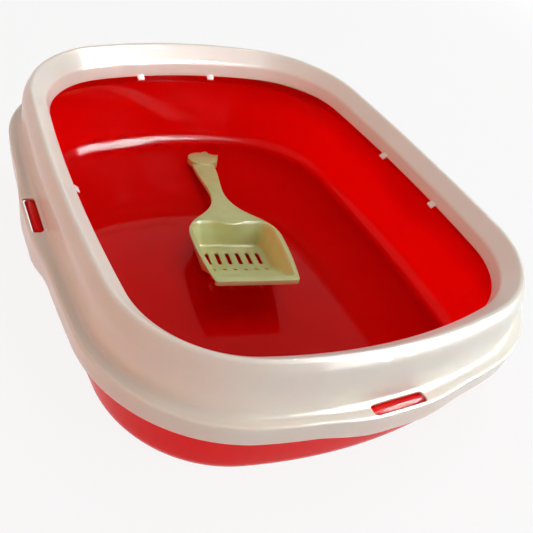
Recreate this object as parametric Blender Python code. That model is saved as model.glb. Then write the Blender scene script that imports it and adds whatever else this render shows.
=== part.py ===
"""Open litter tray: a drafted pan, a snap-on splash guard that drops over its flange, and a slotted scoop.

Metres, +Z up. The origin is on the floor under the middle of the pan, the front is at -Y and the
long way lies along Y.
"""

import math

import bmesh
import bpy
from mathutils import Euler, Vector

MM = 0.001

# Plan outline. It is the guard's inner edge: two nearly straight sides, two bowed ends, round corners.
# Every other outline of the pan and the guard is this one, moved outwards by a named amount.
OPENING_HALF_WIDTH = 166 * MM
OPENING_HALF_LENGTH = 213.6 * MM
SIDE_BOW_RADIUS = 1594 * MM
END_BOW_RADIUS = 407 * MM
CORNER_RADIUS = 88.8 * MM
EDGE_CORNER_RADIUS = 83.4 * MM
CORNER_STEPS = 10

# Clearance between pieces that touch or cut each other.
CLEARANCE = 0.3 * MM
# How far a cutter runs past what it cuts.
OVERRUN = 1 * MM

# Pan
PAN_WALL = 2.4 * MM
PAN_UPSTAND_HEIGHT = 90 * MM
PAN_UPSTAND_OUT = 23.2 * MM
PAN_FOOT_OUT = 17 * MM
PAN_INNER_FILLET = 16 * MM
PAN_STEP_HEIGHT = 82.2 * MM
PAN_STEP_DEPTH = 0.7 * MM
PAN_EDGE_ROUND = 0.8 * MM
FLOOR_PANEL_RISE = 1.2 * MM
FLOOR_BAND_SIDE_IN = 6 * MM
FLOOR_BAND_END_IN = 2 * MM
FLANGE_LIP_DEPTH = 9 * MM
FLANGE_LIP_THICK = 2 * MM
FLANGE_SIDE_GAP = 0.6 * MM

# Splash guard
GUARD_EDGE_HEIGHT = 100 * MM
GUARD_WALL = 2 * MM
INNER_WALL_HEIGHT = 11.5 * MM
INNER_WALL_LEAN = 2.5 * MM
INNER_WALL_ROUND = 7 * MM
CREST_OUT = 17 * MM
CREST_HEIGHT = 25.1 * MM
CREST_ROUND = 3 * MM
SHOULDER_OUT = 23.8 * MM
SHOULDER_HEIGHT = 13.9 * MM
SHOULDER_ROUND = 24 * MM
GROOVE_OUT = 26.65 * MM
GROOVE_DROP = 18.7 * MM
GROOVE_ROUND = 4 * MM
RIDGE_OUT = 36.9 * MM
RIDGE_DROP = 17.2 * MM
RIDGE_ROUND = 1.8 * MM
SKIRT_OUT = 36.4 * MM
SKIRT_DROP = 35 * MM
CREST_RISE_FRONT = 1.6 * MM
CREST_RISE_BACK = 6.2 * MM

# Snap windows: the skirt hangs lower and stands further out around each of them.
WINDOW_LENGTH = 46 * MM
WINDOW_WIDTH = 9.5 * MM
WINDOW_CORNER = 3 * MM
WINDOW_OUT = 32.95 * MM
WINDOW_SHIFT = 2.5 * MM
SIDE_APRON_DROP = 9.5 * MM
END_APRON_DROP = 2.8 * MM
SKIRT_APRON_BULGE = 3.2 * MM
APRON_FLAT_HALF = 18 * MM
APRON_HALF = 64 * MM
APRON_STEPS = 4

# Snap wedges on the pan's flange, one in each window
WEDGE_LENGTH = 43.4 * MM
WEDGE_FOOT_OUT = 29.2 * MM
WEDGE_RIDGE_OUT = 32.8 * MM
WEDGE_NOSE_OUT = 36 * MM
WEDGE_HEIGHT = 2.6 * MM
WEDGE_NOSE_HEIGHT = 0.6 * MM
WEDGE_ROOT = 1.2 * MM

# Small moulded tabs under the guard's inner edge. Side and place along it, as a share of the half length.
TAB_WIDTH = 7.4 * MM
TAB_REACH = 4.3 * MM
TAB_SLOPE_DROP = 2.9 * MM
TAB_THICK = 1.3 * MM
TAB_ROOT = 1.2 * MM
TAB_RIGHT_SHARES = (0.13, -0.285)
TAB_LEFT_SHARES = (0.045,)
TAB_BACK_SHARES = (-0.295, 0.21)
TAB_FRONT_SHARES = (-0.53,)
TAB_FRONT_RISE = 2.5 * MM

# Scoop, in its own frame: rim in the plane z = 0, handle towards +Y, lip towards -Y.
SCOOP_WALL = 1.8 * MM
BOWL_HALF_WIDTH = 47 * MM
BOWL_FRONT = 86.7 * MM
BOWL_REAR = 24.5 * MM
BOWL_SHOULDER_START = 5 * MM
BOWL_DEPTH = 26.5 * MM
BOWL_FLOOR_HALF_WIDTH = 35.7 * MM
BOWL_FLOOR_FRONT = 31.6 * MM
BOWL_FLOOR_REAR = 13.8 * MM
BOWL_FLOOR_CORNER = 8 * MM
BOWL_FLOOR_FILLET = 4 * MM
RIM_WIDTH = 4 * MM
RIM_REAR_WIDTH = 4.5 * MM
RIM_CORNER = 12.2 * MM
RIM_ROUND = 1 * MM
LIP_WIDTH = 8.2 * MM
LIP_STEP = 2.2 * MM
LIP_SKIRT = 4.5 * MM
LIP_CORNER = 2 * MM
NECK_CHANNEL_HALF_WIDTH = 16.3 * MM
NECK_CHANNEL_DEPTH = 5.5 * MM
HANDLE_END = 153 * MM
HANDLE_SKIRT = 4.2 * MM
HANDLE_CROWN = 0.8 * MM
SLOT_WIDTH = 4.6 * MM
SLOT_PITCH = 10.7 * MM
SLOT_START = -0.7 * MM
SLOT_LENGTH = 21.4 * MM
SHORT_SLOT_GAP = 12.2 * MM
SHORT_SLOT_LENGTH = 6 * MM
SLOTS_IN_ROW = 6
HEAD_RADIUS = 15.8 * MM
HEAD_CENTRE = 166.3 * MM
HEAD_RISE = 2.5 * MM
HEAD_HEIGHT = 7.1 * MM
HEAD_BEVEL = 0.8 * MM
SCOOP_PLACE_X = -6.6 * MM
SCOOP_PLACE_Y = 10.7 * MM
SCOOP_TURN = math.radians(-10.3)

# The scoop's half width, as shares of the bowl's, at stations that are shares of the handle's length.
# The first station is the widest, the last is the handle's end.
OUTLINE_SHARES = (
    (-0.03, 1.0),
    (0.02, 0.985),
    (0.055, 0.945),
    (0.09, 0.895),
    (0.125, 0.83),
    (0.16, 0.74),
    (0.19, 0.655),
    (0.22, 0.55),
    (0.255, 0.455),
    (0.30, 0.355),
    (0.35, 0.272),
    (0.405, 0.215),
    (0.46, 0.178),
    (0.52, 0.158),
    (0.60, 0.168),
    (0.70, 0.2),
    (0.85, 0.255),
    (1.0, 0.28),
)
LIP_HALF_WIDTH_SHARE = 0.84
# Across the bowl's rear edge, and the handle behind it, as shares of the half width there.
REAR_SHARES = (1, 0.6, 0.4, 0.2, 0)
BOWL_SIDE_STEPS = 5
BOWL_CORNER_STEPS = 5
# The handle's hooked head: points of its two horns, back and across, as shares of the head's radius.
HORN_SHARES = ((-0.6, 1.1), (0.75, 1.47), (0.68, 1.12), (0.92, 0.76), (1.28, 0.66), (1.17, 0.3))

GUARD_LEDGE_SLOPE = (GROOVE_DROP - RIDGE_DROP) / (RIDGE_OUT - GROOVE_OUT)


def clear_scene():
    for obj in list(bpy.data.objects):
        bpy.data.objects.remove(obj, do_unlink=True)


def plastic(name, colour, roughness):
    material = bpy.data.materials.new(name)
    material.use_nodes = True
    shader = material.node_tree.nodes["Principled BSDF"]
    shader.inputs["Base Color"].default_value = colour
    shader.inputs["Roughness"].default_value = roughness
    shader.inputs["Metallic"].default_value = 0
    material.diffuse_color = colour
    return material


def object_from(name, mesh_builder, material=None, sharp_angle=math.radians(35)):
    """An object in the scene from a bmesh, closed, facing out and shaded smooth."""
    mesh = bpy.data.meshes.new(name)
    mesh_builder.to_mesh(mesh)
    mesh_builder.free()
    mesh.shade_smooth()
    mesh.set_sharp_from_angle(angle=sharp_angle)
    if material:
        mesh.materials.append(material)
    obj = bpy.data.objects.new(name, mesh)
    bpy.context.scene.collection.objects.link(obj)
    return obj


def combine(obj, helper, operation):
    """Joins a helper to an object or cuts it away. The helper stays in the scene as a guide."""
    helper.hide_render = True
    helper.display_type = "WIRE"
    modifier = obj.modifiers.new(helper.name, "BOOLEAN")
    modifier.operation = operation
    modifier.solver = "EXACT"
    modifier.object = helper
    helper.parent = obj
    helper.matrix_parent_inverse = obj.matrix_world.inverted()


# Plan outlines


def even_stations(length):
    """Five stations along half a side, for a wall with nothing on it."""
    return [length * i / 4 for i in range(5)]


def apron_stations(length):
    """Stations along half a side that follow the apron round a window: flat, ramp, then plain."""
    ramp = APRON_HALF - APRON_FLAT_HALF
    stations = [0, APRON_FLAT_HALF / 2, APRON_FLAT_HALF]
    stations += [APRON_FLAT_HALF + ramp * i / APRON_STEPS for i in range(1, APRON_STEPS + 1)]
    rest = length - APRON_HALF
    return stations + [APRON_HALF + rest / 2, length]


def plan_outline(stations, corner_radius=CORNER_RADIUS, side_in=0, end_in=0):
    """The outline anticlockwise from +X, as (point, outward normal, distance from a side's middle).

    A quarter is three tangent arcs: the side's, the corner's and the end's. An arc moved outwards
    keeps its centre, so every outline has its points on the same normals.
    """
    half_width = OPENING_HALF_WIDTH - side_in
    half_length = OPENING_HALF_LENGTH - end_in
    side_centre = Vector((half_width - SIDE_BOW_RADIUS, 0))
    end_centre = Vector((0, half_length - END_BOW_RADIUS))
    to_side = SIDE_BOW_RADIUS - corner_radius
    to_end = END_BOW_RADIUS - corner_radius
    apart = end_centre - side_centre
    span = apart.length
    along = (span**2 + to_side**2 - to_end**2) / (2 * span)
    aside = math.sqrt(to_side**2 - along**2)
    direction = apart / span
    across = Vector((-direction.y, direction.x))
    corner_centre = side_centre + direction * along + across * aside
    first = corner_centre - side_centre
    second = corner_centre - end_centre
    start = math.atan2(first.y, first.x)
    stop = math.atan2(second.y, second.x)

    quarter = []

    def add(centre, radius, angle, reach):
        normal = Vector((math.cos(angle), math.sin(angle)))
        quarter.append((centre + normal * radius, normal, reach))

    for reach in stations(SIDE_BOW_RADIUS * start):
        add(side_centre, SIDE_BOW_RADIUS, reach / SIDE_BOW_RADIUS, reach)
    for i in range(1, CORNER_STEPS):
        angle = start + (stop - start) * i / CORNER_STEPS
        add(corner_centre, corner_radius, angle, APRON_HALF)
    for reach in reversed(stations(END_BOW_RADIUS * (math.pi / 2 - stop))):
        add(end_centre, END_BOW_RADIUS, math.pi / 2 - reach / END_BOW_RADIUS, reach)

    def mirrored(points, sx, sy):
        flip = Vector((sx, sy))
        return [(point * flip, normal * flip, reach) for point, normal, reach in points]

    outline = quarter + mirrored(quarter[::-1], -1, 1)[1:]
    outline += mirrored(quarter, -1, -1)[1:]
    return outline + mirrored(quarter[::-1], 1, -1)[1:-1]


def moved_out(outline, distance, height):
    """One ring of points: the outline moved along its normals, at one height."""
    return [(point + normal * distance).to_3d() + Vector((0, 0, height)) for point, normal, _ in outline]


def loft(rings, close_rings=False):
    """Quads between rings of the same count. The ends are capped, or the last ring meets the first."""
    shape = bmesh.new()
    rows = [[shape.verts.new(point) for point in ring] for ring in rings]
    pairs = list(zip(rows, rows[1:]))
    if close_rings:
        pairs.append((rows[-1], rows[0]))
    else:
        shape.faces.new(rows[0])
        shape.faces.new(rows[-1])
    for lower, upper in pairs:
        for i in range(len(lower)):
            j = (i + 1) % len(lower)
            shape.faces.new((lower[i], lower[j], upper[j], upper[i]))
    bmesh.ops.recalc_face_normals(shape, faces=shape.faces)
    return shape


# Wall profiles, as corners (out, up, radius, steps of the rounding)


def shifted_corners(corners, distance):
    """The same profile moved to its right by a distance, with its roundings kept concentric."""
    points = [Vector(corner[:2]) for corner in corners]
    sides = [(b - a).normalized() for a, b in zip(points, points[1:])]
    rights = [Vector((side.y, -side.x)) for side in sides]
    moved = [(*(points[0] + rights[0] * distance), 0, 1)]
    for i in range(1, len(points) - 1):
        before, after = rights[i - 1], rights[i]
        mitre = points[i] + (before + after) * distance / (1 + before.dot(after))
        turns_right = before.cross(after) < 0
        radius = corners[i][2] + (-distance if turns_right else distance)
        moved.append((*mitre, max(radius, 0), corners[i][3]))
    moved.append((*(points[-1] + rights[-1] * distance), 0, 1))
    return moved


def rounded(corners):
    """The profile's points, with an arc at each corner that has a radius."""
    points = [Vector(corner[:2]) for corner in corners]
    traced = [points[0]]
    for i in range(1, len(points) - 1):
        radius, steps = corners[i][2:]
        before = (points[i - 1] - points[i]).normalized()
        after = (points[i + 1] - points[i]).normalized()
        half_angle = before.angle(after) / 2
        if not radius:
            traced.append(points[i])
            continue
        setback = radius / math.tan(half_angle)
        middle = points[i] + (before + after).normalized() * radius / math.sin(half_angle)
        first = points[i] + before * setback - middle
        last = points[i] + after * setback - middle
        sweep = first.angle_signed(last)
        for step in range(steps + 1):
            turn = -sweep * step / steps
            cosine, sine = math.cos(turn), math.sin(turn)
            arm = Vector((first.x * cosine - first.y * sine, first.x * sine + first.y * cosine))
            traced.append(middle + arm)
    return traced + [points[-1]]


def smooth_share(value, low, high):
    """0 up to the low value, 1 from the high one, with a smooth step between them."""
    share = min(max((value - low) / (high - low), 0), 1)
    return share * share * (3 - 2 * share)


# Splash guard


def guard_corners():
    return [
        (0, 0, 0, 1),
        (INNER_WALL_LEAN, INNER_WALL_HEIGHT, INNER_WALL_ROUND, 2),
        (CREST_OUT, CREST_HEIGHT, CREST_ROUND, 3),
        (SHOULDER_OUT, SHOULDER_HEIGHT, SHOULDER_ROUND, 2),
        (GROOVE_OUT, -GROOVE_DROP, GROOVE_ROUND, 3),
        (RIDGE_OUT, -RIDGE_DROP, RIDGE_ROUND, 2),
        (SKIRT_OUT, -SKIRT_DROP, 0, 1),
    ]


def coarser(corners):
    """The hidden side of a wall needs only half the steps in each rounding but the groove's, its largest."""
    return [
        (out, up, radius, steps if radius > GROOVE_ROUND else max(steps // 2, 1))
        for out, up, radius, steps in corners
    ]


def crest_rise(y):
    """How much taller the crest stands towards the ends, most of all at the back."""
    share = y / OPENING_HALF_LENGTH
    even = (CREST_RISE_BACK + CREST_RISE_FRONT) / 2
    tilt = (CREST_RISE_BACK - CREST_RISE_FRONT) / 2
    return even * share**2 + tilt * share


def guard_ring(out, up, outline):
    """One ring of the guard, with the crest's rise and the aprons round the windows worked in."""
    if out < CREST_OUT:
        rise_share = max(up, 0) / CREST_HEIGHT
    else:
        rise_share = max(up + GROOVE_DROP, 0) / (CREST_HEIGHT + GROOVE_DROP)
    skirt_top = RIDGE_DROP + GUARD_WALL + RIDGE_ROUND
    drop_share = min(max((-up - skirt_top) / (SKIRT_DROP - skirt_top), 0), 1)
    bulge_share = min(max((out - GROOVE_OUT) / (RIDGE_OUT - GUARD_WALL - GROOVE_OUT), 0), 1)
    ring = []
    for point, normal, reach in outline:
        apron = 1 - smooth_share(reach, APRON_FLAT_HALF, APRON_HALF)
        on_long_side = abs(normal.x) > abs(normal.y)
        drop = SIDE_APRON_DROP if on_long_side else END_APRON_DROP
        place = point + normal * (out + SKIRT_APRON_BULGE * apron * bulge_share)
        height = GUARD_EDGE_HEIGHT + up + crest_rise(place.y) * rise_share
        height -= drop * apron * drop_share
        ring.append(place.to_3d() + Vector((0, 0, height)))
    return ring


def edge_blend_outline(out):
    """The guard's corners are a little tighter at its inner edge than from the crest outwards."""
    share = min(max(out, 0) / CREST_OUT, 1)
    radius = EDGE_CORNER_RADIUS + (CORNER_RADIUS - EDGE_CORNER_RADIUS) * share
    return plan_outline(apron_stations, radius)


def side_places():
    """The middle of each of the four sides: a point on the outline and its outward normal."""
    return {
        "right": (Vector((OPENING_HALF_WIDTH, 0)), Vector((1, 0))),
        "back": (Vector((0, OPENING_HALF_LENGTH)), Vector((0, 1))),
        "left": (Vector((-OPENING_HALF_WIDTH, 0)), Vector((-1, 0))),
        "front": (Vector((0, -OPENING_HALF_LENGTH)), Vector((0, -1))),
    }


def snap_places():
    """Where the windows and their wedges sit: the middle of each side, a little clockwise."""
    for point, normal in side_places().values():
        along = Vector((-normal.y, normal.x))
        yield point - along * WINDOW_SHIFT, normal, along


def on_side(side, along):
    """The point of the plan outline that lies this far along a side, and the normal there."""
    middle, normal = side_places()[side]
    radius = SIDE_BOW_RADIUS if side in ("left", "right") else END_BOW_RADIUS
    tangent = Vector((abs(normal.y), abs(normal.x)))
    centre = middle - normal * radius
    turn = math.asin(along / radius)
    outward = normal * math.cos(turn) + tangent * math.sin(turn)
    return centre + outward * radius, outward


def prism(section, length, at, outward):
    """A bar of one section (out, up), laid across the outward direction and centred on a point."""
    sideways = Vector((-outward.y, outward.x, 0)) * length / 2
    ends = [
        [(at + outward * out).to_3d() + Vector((0, 0, up)) + sideways * sign for out, up in section]
        for sign in (-1, 1)
    ]
    return loft(ends)


def merge_shapes(name, shapes):
    """One helper object that holds several separate closed shapes."""
    whole = bmesh.new()
    for shape in shapes:
        piece = bpy.data.meshes.new(name)
        shape.to_mesh(piece)
        shape.free()
        whole.from_mesh(piece)
        bpy.data.meshes.remove(piece)
    return object_from(name, whole)


def slot_prism(centre, along, length, width, low, high, steps=4):
    """A tall prism with round ends, to cut a slot. Its plan lies along a direction in the level plane."""
    across = Vector((-along.y, along.x))
    straight = (length - width) / 2
    ring = []
    for side in (1, -1):
        for step in range(steps + 1):
            angle = math.pi * (step / steps - 1 / 2)
            out = straight + math.cos(angle) * width / 2
            ring.append(centre + (along * out + across * math.sin(angle) * width / 2) * side)
    return loft([[point.to_3d() + Vector((0, 0, z)) for point in ring] for z in (low, high)])


def window_prism(centre, along, low, high, steps=3):
    """A tall prism with rounded corners, to cut a window. Its plan lies along a level direction."""
    across = Vector((-along.y, along.x))
    ring = []
    for quarter, (end, side) in enumerate(((1, 1), (-1, 1), (-1, -1), (1, -1))):
        for step in range(steps + 1):
            angle = math.pi / 2 * (quarter + step / steps)
            out = end * (WINDOW_LENGTH / 2 - WINDOW_CORNER) + math.cos(angle) * WINDOW_CORNER
            aside = side * (WINDOW_WIDTH / 2 - WINDOW_CORNER) + math.sin(angle) * WINDOW_CORNER
            ring.append(centre + along * out + across * aside)
    return loft([[point.to_3d() + Vector((0, 0, z)) for point in ring] for z in (low, high)])


def make_window_cutters():
    low = GUARD_EDGE_HEIGHT - GROOVE_DROP - GUARD_WALL - OVERRUN
    high = GUARD_EDGE_HEIGHT - RIDGE_DROP + OVERRUN
    cutters = [
        window_prism(point + normal * WINDOW_OUT, along, low, high)
        for point, normal, along in snap_places()
    ]
    return merge_shapes("window_cutters", cutters)


def tab_places():
    """Each tab's point on the plan outline, the outward normal there and its height above the others."""
    for share in TAB_RIGHT_SHARES:
        yield *on_side("right", share * OPENING_HALF_LENGTH), 0
    for share in TAB_LEFT_SHARES:
        yield *on_side("left", share * OPENING_HALF_LENGTH), 0
    for share in TAB_BACK_SHARES:
        yield *on_side("back", share * OPENING_HALF_WIDTH), 0
    for share in TAB_FRONT_SHARES:
        yield *on_side("front", share * OPENING_HALF_WIDTH), TAB_FRONT_RISE


def make_tabs():
    shapes = []
    for point, normal, rise in tab_places():
        base = GUARD_EDGE_HEIGHT + rise
        section = [
            (TAB_ROOT, base + TAB_ROOT),
            (TAB_ROOT, base + TAB_ROOT + TAB_THICK),
            (-TAB_REACH, base - TAB_SLOPE_DROP + TAB_THICK),
            (-TAB_REACH, base - TAB_SLOPE_DROP),
        ]
        shapes.append(prism(section, TAB_WIDTH, point, normal))
    return merge_shapes("inner_tabs", shapes)


def make_guard():
    corners = guard_corners()
    outer = rounded(corners)
    inner = rounded(coarser(shifted_corners(corners, GUARD_WALL)))
    rings = [guard_ring(out, up, edge_blend_outline(out)) for out, up in outer + inner[::-1]]
    white = plastic("milky_plastic", (0.83, 0.78, 0.73, 1), 0.3)
    guard = object_from("splash_guard", loft(rings, close_rings=True), white)
    combine(guard, make_tabs(), "UNION")
    combine(guard, make_window_cutters(), "DIFFERENCE")
    return guard


# Pan


def flange_top():
    """The flange lies just under the guard's ledge, at the ledge's lowest line."""
    return GUARD_EDGE_HEIGHT - GROOVE_DROP - GUARD_WALL * math.hypot(1, GUARD_LEDGE_SLOPE) - CLEARANCE


def pan_corners():
    """The pan's upper profile from the floor's edge up the inner wall, over the flange and down its lip."""
    upstand_in = PAN_UPSTAND_OUT - PAN_WALL
    lean = (upstand_in - PAN_FOOT_OUT) / PAN_UPSTAND_HEIGHT
    at_step = PAN_FOOT_OUT + lean * PAN_STEP_HEIGHT
    flange_out = SKIRT_OUT - GUARD_WALL - FLANGE_SIDE_GAP
    top = flange_top()
    return [
        (PAN_FOOT_OUT, PAN_WALL, PAN_INNER_FILLET, 5),
        (at_step - PAN_STEP_DEPTH, PAN_STEP_HEIGHT, 0, 1),
        (at_step, PAN_STEP_HEIGHT + PAN_STEP_DEPTH, 0, 1),
        (upstand_in, PAN_UPSTAND_HEIGHT, PAN_EDGE_ROUND, 2),
        (PAN_UPSTAND_OUT, PAN_UPSTAND_HEIGHT, PAN_EDGE_ROUND, 2),
        (PAN_UPSTAND_OUT, top, PAN_EDGE_ROUND, 1),
        (flange_out, top, PAN_EDGE_ROUND, 2),
        (flange_out, top - FLANGE_LIP_DEPTH, 0, 1),
        (flange_out - FLANGE_LIP_THICK, top - FLANGE_LIP_DEPTH, 0, 1),
        (flange_out - FLANGE_LIP_THICK, top - PAN_WALL, PAN_EDGE_ROUND, 1),
    ]


def pan_underside():
    """The outer wall from the flange down to the base, one wall thickness outside the inner one."""
    return [
        (PAN_UPSTAND_OUT, flange_top() - PAN_WALL, PAN_EDGE_ROUND, 1),
        (PAN_FOOT_OUT + PAN_WALL, 0, PAN_INNER_FILLET + PAN_WALL, 5),
    ]


def make_wedges():
    """Snap wedges: a root in the flange, a ridge, and a face that slopes out to a nose."""
    top = flange_top()
    section = [
        (WEDGE_FOOT_OUT, top - WEDGE_ROOT),
        (WEDGE_FOOT_OUT, top + WEDGE_HEIGHT / 2),
        (WEDGE_RIDGE_OUT, top + WEDGE_HEIGHT),
        (WEDGE_NOSE_OUT, top + WEDGE_NOSE_HEIGHT),
        (WEDGE_NOSE_OUT, top - WEDGE_NOSE_HEIGHT),
        (SKIRT_OUT - GUARD_WALL - FLANGE_SIDE_GAP - WEDGE_ROOT, top - WEDGE_ROOT),
    ]
    shapes = [prism(section, WEDGE_LENGTH, point, normal) for point, normal, _ in snap_places()]
    return merge_shapes("snap_wedges", shapes)


def make_pan():
    outline = plan_outline(even_stations)
    panel = plan_outline(even_stations, side_in=FLOOR_BAND_SIDE_IN, end_in=FLOOR_BAND_END_IN)
    floor = PAN_WALL
    start = (PAN_FOOT_OUT - PAN_INNER_FILLET - PAN_EDGE_ROUND, floor, 0, 1)
    corners = [start] + pan_corners() + pan_underside() + [(start[0], 0, 0, 1)]
    rings = [
        moved_out(panel, -FLOOR_PANEL_RISE, floor + FLOOR_PANEL_RISE),
        moved_out(panel, 0, floor),
    ]
    rings += [moved_out(outline, out, up) for out, up in rounded(corners)]
    rings += [
        moved_out(panel, 0, 0),
        moved_out(panel, -FLOOR_PANEL_RISE, FLOOR_PANEL_RISE),
    ]
    red = plastic("red_plastic", (0.75, 0.004, 0.004, 1), 0.2)
    pan = object_from("base_pan", loft(rings), red)
    combine(pan, make_wedges(), "UNION")
    return pan


# Scoop


def half_width_at(back):
    """The scoop's half width at a distance behind the bowl's middle, from the lip to the handle's end."""
    widest = OUTLINE_SHARES[0][0] * HANDLE_END
    if back <= widest:
        share = (widest - back) / (widest + BOWL_FRONT)
        return BOWL_HALF_WIDTH * (1 - (1 - LIP_HALF_WIDTH_SHARE) * share**2)
    for (back_a, wide_a), (back_b, wide_b) in zip(OUTLINE_SHARES, OUTLINE_SHARES[1:]):
        low, high = back_a * HANDLE_END, back_b * HANDLE_END
        if back <= high:
            share = (back - low) / (high - low)
            return BOWL_HALF_WIDTH * (wide_a + (wide_b - wide_a) * share)
    return BOWL_HALF_WIDTH * OUTLINE_SHARES[-1][1]


def neck_dip(x):
    """How far the channel in the rear wall brings the rim's edge forward."""
    share = min(abs(x) / NECK_CHANNEL_HALF_WIDTH, 1)
    return NECK_CHANNEL_DEPTH * (1 - share**2)


def half_bowl_ring(front, side_at, side_range, corner, rear, rear_half, height_at, dip_share=0):
    """The right half of one ring of the bowl, from the middle of the lip round to the middle of the rear.

    side_at gives the half width at a station, side_range the stations where the side starts and ends,
    and corner the points between the side and the rear edge.
    """
    points = [(0, front), (side_at(front) / 2, front)]
    points += [(side_at(front) - LIP_CORNER, front), (side_at(front + LIP_CORNER), front + LIP_CORNER)]
    low, high = side_range
    for step in range(1, BOWL_SIDE_STEPS + 1):
        back = low + (high - low) * step / BOWL_SIDE_STEPS
        points.append((side_at(back), back))
    points += corner
    for share in REAR_SHARES[1:]:
        x = rear_half * share
        points.append((x, rear - neck_dip(x) * dip_share))
    return [Vector((x, y, height_at(y))) for x, y in points]


def whole_ring(half):
    """Both halves of a ring, anticlockwise, from the middle of the lip."""
    left = [Vector((-point.x, point.y, point.z)) for point in half[1:-1]]
    return half + left[::-1]


def arc_corner(half_width, rear, radius):
    """A round rear corner, from the end of the side to the start of the rear edge."""
    points = []
    for step in range(1, BOWL_CORNER_STEPS + 1):
        angle = math.pi / 2 * step / BOWL_CORNER_STEPS
        x = half_width - radius + math.cos(angle) * radius
        points.append((x, rear - radius + math.sin(angle) * radius))
    return points


def bowl_rings():
    """The bowl's inner surface from its floor up to the rim, then out to the rim's outer edge."""
    rings = []
    floor_inset_shares = ((1, 0), (0.4, 0.15), (0, 0.6))
    for inset_share, up_share in floor_inset_shares:
        inset = BOWL_FLOOR_FILLET * inset_share
        height = BOWL_FLOOR_FILLET * up_share - BOWL_DEPTH
        half = BOWL_FLOOR_HALF_WIDTH - inset
        rear = BOWL_FLOOR_REAR - inset
        front = -BOWL_FLOOR_FRONT + inset / 2
        corner = arc_corner(half, rear, BOWL_FLOOR_CORNER)
        side_range = (front + LIP_CORNER, rear - BOWL_FLOOR_CORNER)
        rings.append(
            half_bowl_ring(
                front, lambda back, half=half: half, side_range, corner, rear,
                half - BOWL_FLOOR_CORNER, lambda back, height=height: height,
            )
        )
    for inset, height in ((0, -RIM_ROUND), (-RIM_ROUND, 0)):
        rim_rear = BOWL_REAR - RIM_REAR_WIDTH - RIM_ROUND - inset
        front = -BOWL_FRONT + LIP_WIDTH + inset
        step = LIP_STEP if height else 0

        def side_at(back, inset=inset):
            return half_width_at(min(back, 0)) - RIM_WIDTH - RIM_ROUND - inset

        def height_at(back, height=height, front=front, step=step):
            return height - (step if back < front + LIP_CORNER / 2 else 0)

        corner = arc_corner(side_at(0), rim_rear, RIM_CORNER)
        side_range = (front + LIP_CORNER, rim_rear - RIM_CORNER)
        rings.append(
            half_bowl_ring(
                front, side_at, side_range, corner, rim_rear,
                side_at(0) - RIM_CORNER, height_at, dip_share=1,
            )
        )
    shoulder = BOWL_REAR - BOWL_SHOULDER_START
    steps = range(1, BOWL_CORNER_STEPS + 1)
    stations = [BOWL_SHOULDER_START + shoulder * step / BOWL_CORNER_STEPS for step in steps]
    corner = [(half_width_at(back), back) for back in stations]
    rings.append(
        half_bowl_ring(
            -BOWL_FRONT, half_width_at, (-BOWL_FRONT + LIP_CORNER, BOWL_SHOULDER_START), corner, BOWL_REAR,
            half_width_at(BOWL_REAR), lambda back: 0,
        )
    )
    return [whole_ring(half) for half in rings]


def handle_rows():
    """Rows across the neck and the handle, behind the bowl's rim."""
    stations = [back * HANDLE_END for back, _ in OUTLINE_SHARES if back * HANDLE_END > BOWL_REAR + CLEARANCE]
    shares = REAR_SHARES + tuple(-share for share in REAR_SHARES[-2::-1])
    for back in stations:
        half = half_width_at(back)
        crown = HANDLE_CROWN * smooth_share(back, BOWL_REAR, HANDLE_END / 2)
        yield [Vector((half * share, back, crown * (1 - share**2))) for share in shares]


def make_scoop_surface():
    """The scoop's upper surface as one sheet. It gets its wall thickness from a modifier."""
    sheet = bmesh.new()
    rings = [[sheet.verts.new(point) for point in ring] for ring in bowl_rings()]
    sheet.faces.new(rings[0])
    for inner, outer in zip(rings, rings[1:]):
        for i in range(len(inner)):
            j = (i + 1) % len(inner)
            sheet.faces.new((inner[i], outer[i], outer[j], inner[j]))
    rim = rings[-1]
    middle = len(rim) // 2
    reach = len(REAR_SHARES) - 1
    last = [rim[i] for i in range(middle - reach, middle + reach + 1)]
    edge_right, edge_left = [last[0]], [last[-1]]
    for row in handle_rows():
        new = [sheet.verts.new(point) for point in row]
        for i in range(len(new) - 1):
            sheet.faces.new((last[i], new[i], new[i + 1], last[i + 1]))
        edge_right.append(new[0])
        edge_left.append(new[-1])
        last = new
    add_skirt(sheet, edge_right, HANDLE_SKIRT)
    add_skirt(sheet, edge_left[::-1], HANDLE_SKIRT)
    front = [rim[i % len(rim)] for i in range(-3, 4)]
    add_skirt(sheet, front, LIP_SKIRT, even=True)
    bmesh.ops.recalc_face_normals(sheet, faces=sheet.faces)
    if sum(face.normal.z * face.calc_area() for face in sheet.faces) < 0:
        bmesh.ops.reverse_faces(sheet, faces=sheet.faces)
    return sheet


def add_skirt(sheet, edge, depth, even=False):
    """A strip that turns down from an edge. It starts shallow where the edge leaves the bowl's rim."""
    lower = []
    for vertex in edge:
        share = 1 if even else smooth_share(vertex.co.y, BOWL_REAR / 2, 2 * BOWL_REAR)
        lower.append(sheet.verts.new(vertex.co - Vector((0, 0, depth * share))))
    for i in range(len(edge) - 1):
        sheet.faces.new((edge[i], lower[i], lower[i + 1], edge[i + 1]))


def make_slot_cutters():
    """Two rows of slots: long ones on the flat floor and short ones at the foot of the ramp."""
    forward = Vector((0, -1))
    low = -BOWL_DEPTH - SCOOP_WALL - OVERRUN
    high = -BOWL_DEPTH / 2
    rows = (
        (SLOT_START, SLOT_LENGTH),
        (SLOT_START + SLOT_LENGTH + SHORT_SLOT_GAP, SHORT_SLOT_LENGTH),
    )
    cutters = []
    for start, length in rows:
        for i in range(SLOTS_IN_ROW):
            x = (i - (SLOTS_IN_ROW - 1) / 2) * SLOT_PITCH
            centre = Vector((x, -start - length / 2))
            cutters.append(slot_prism(centre, forward, length, SLOT_WIDTH, low, high))
    return merge_shapes("slot_cutters", cutters)


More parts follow.
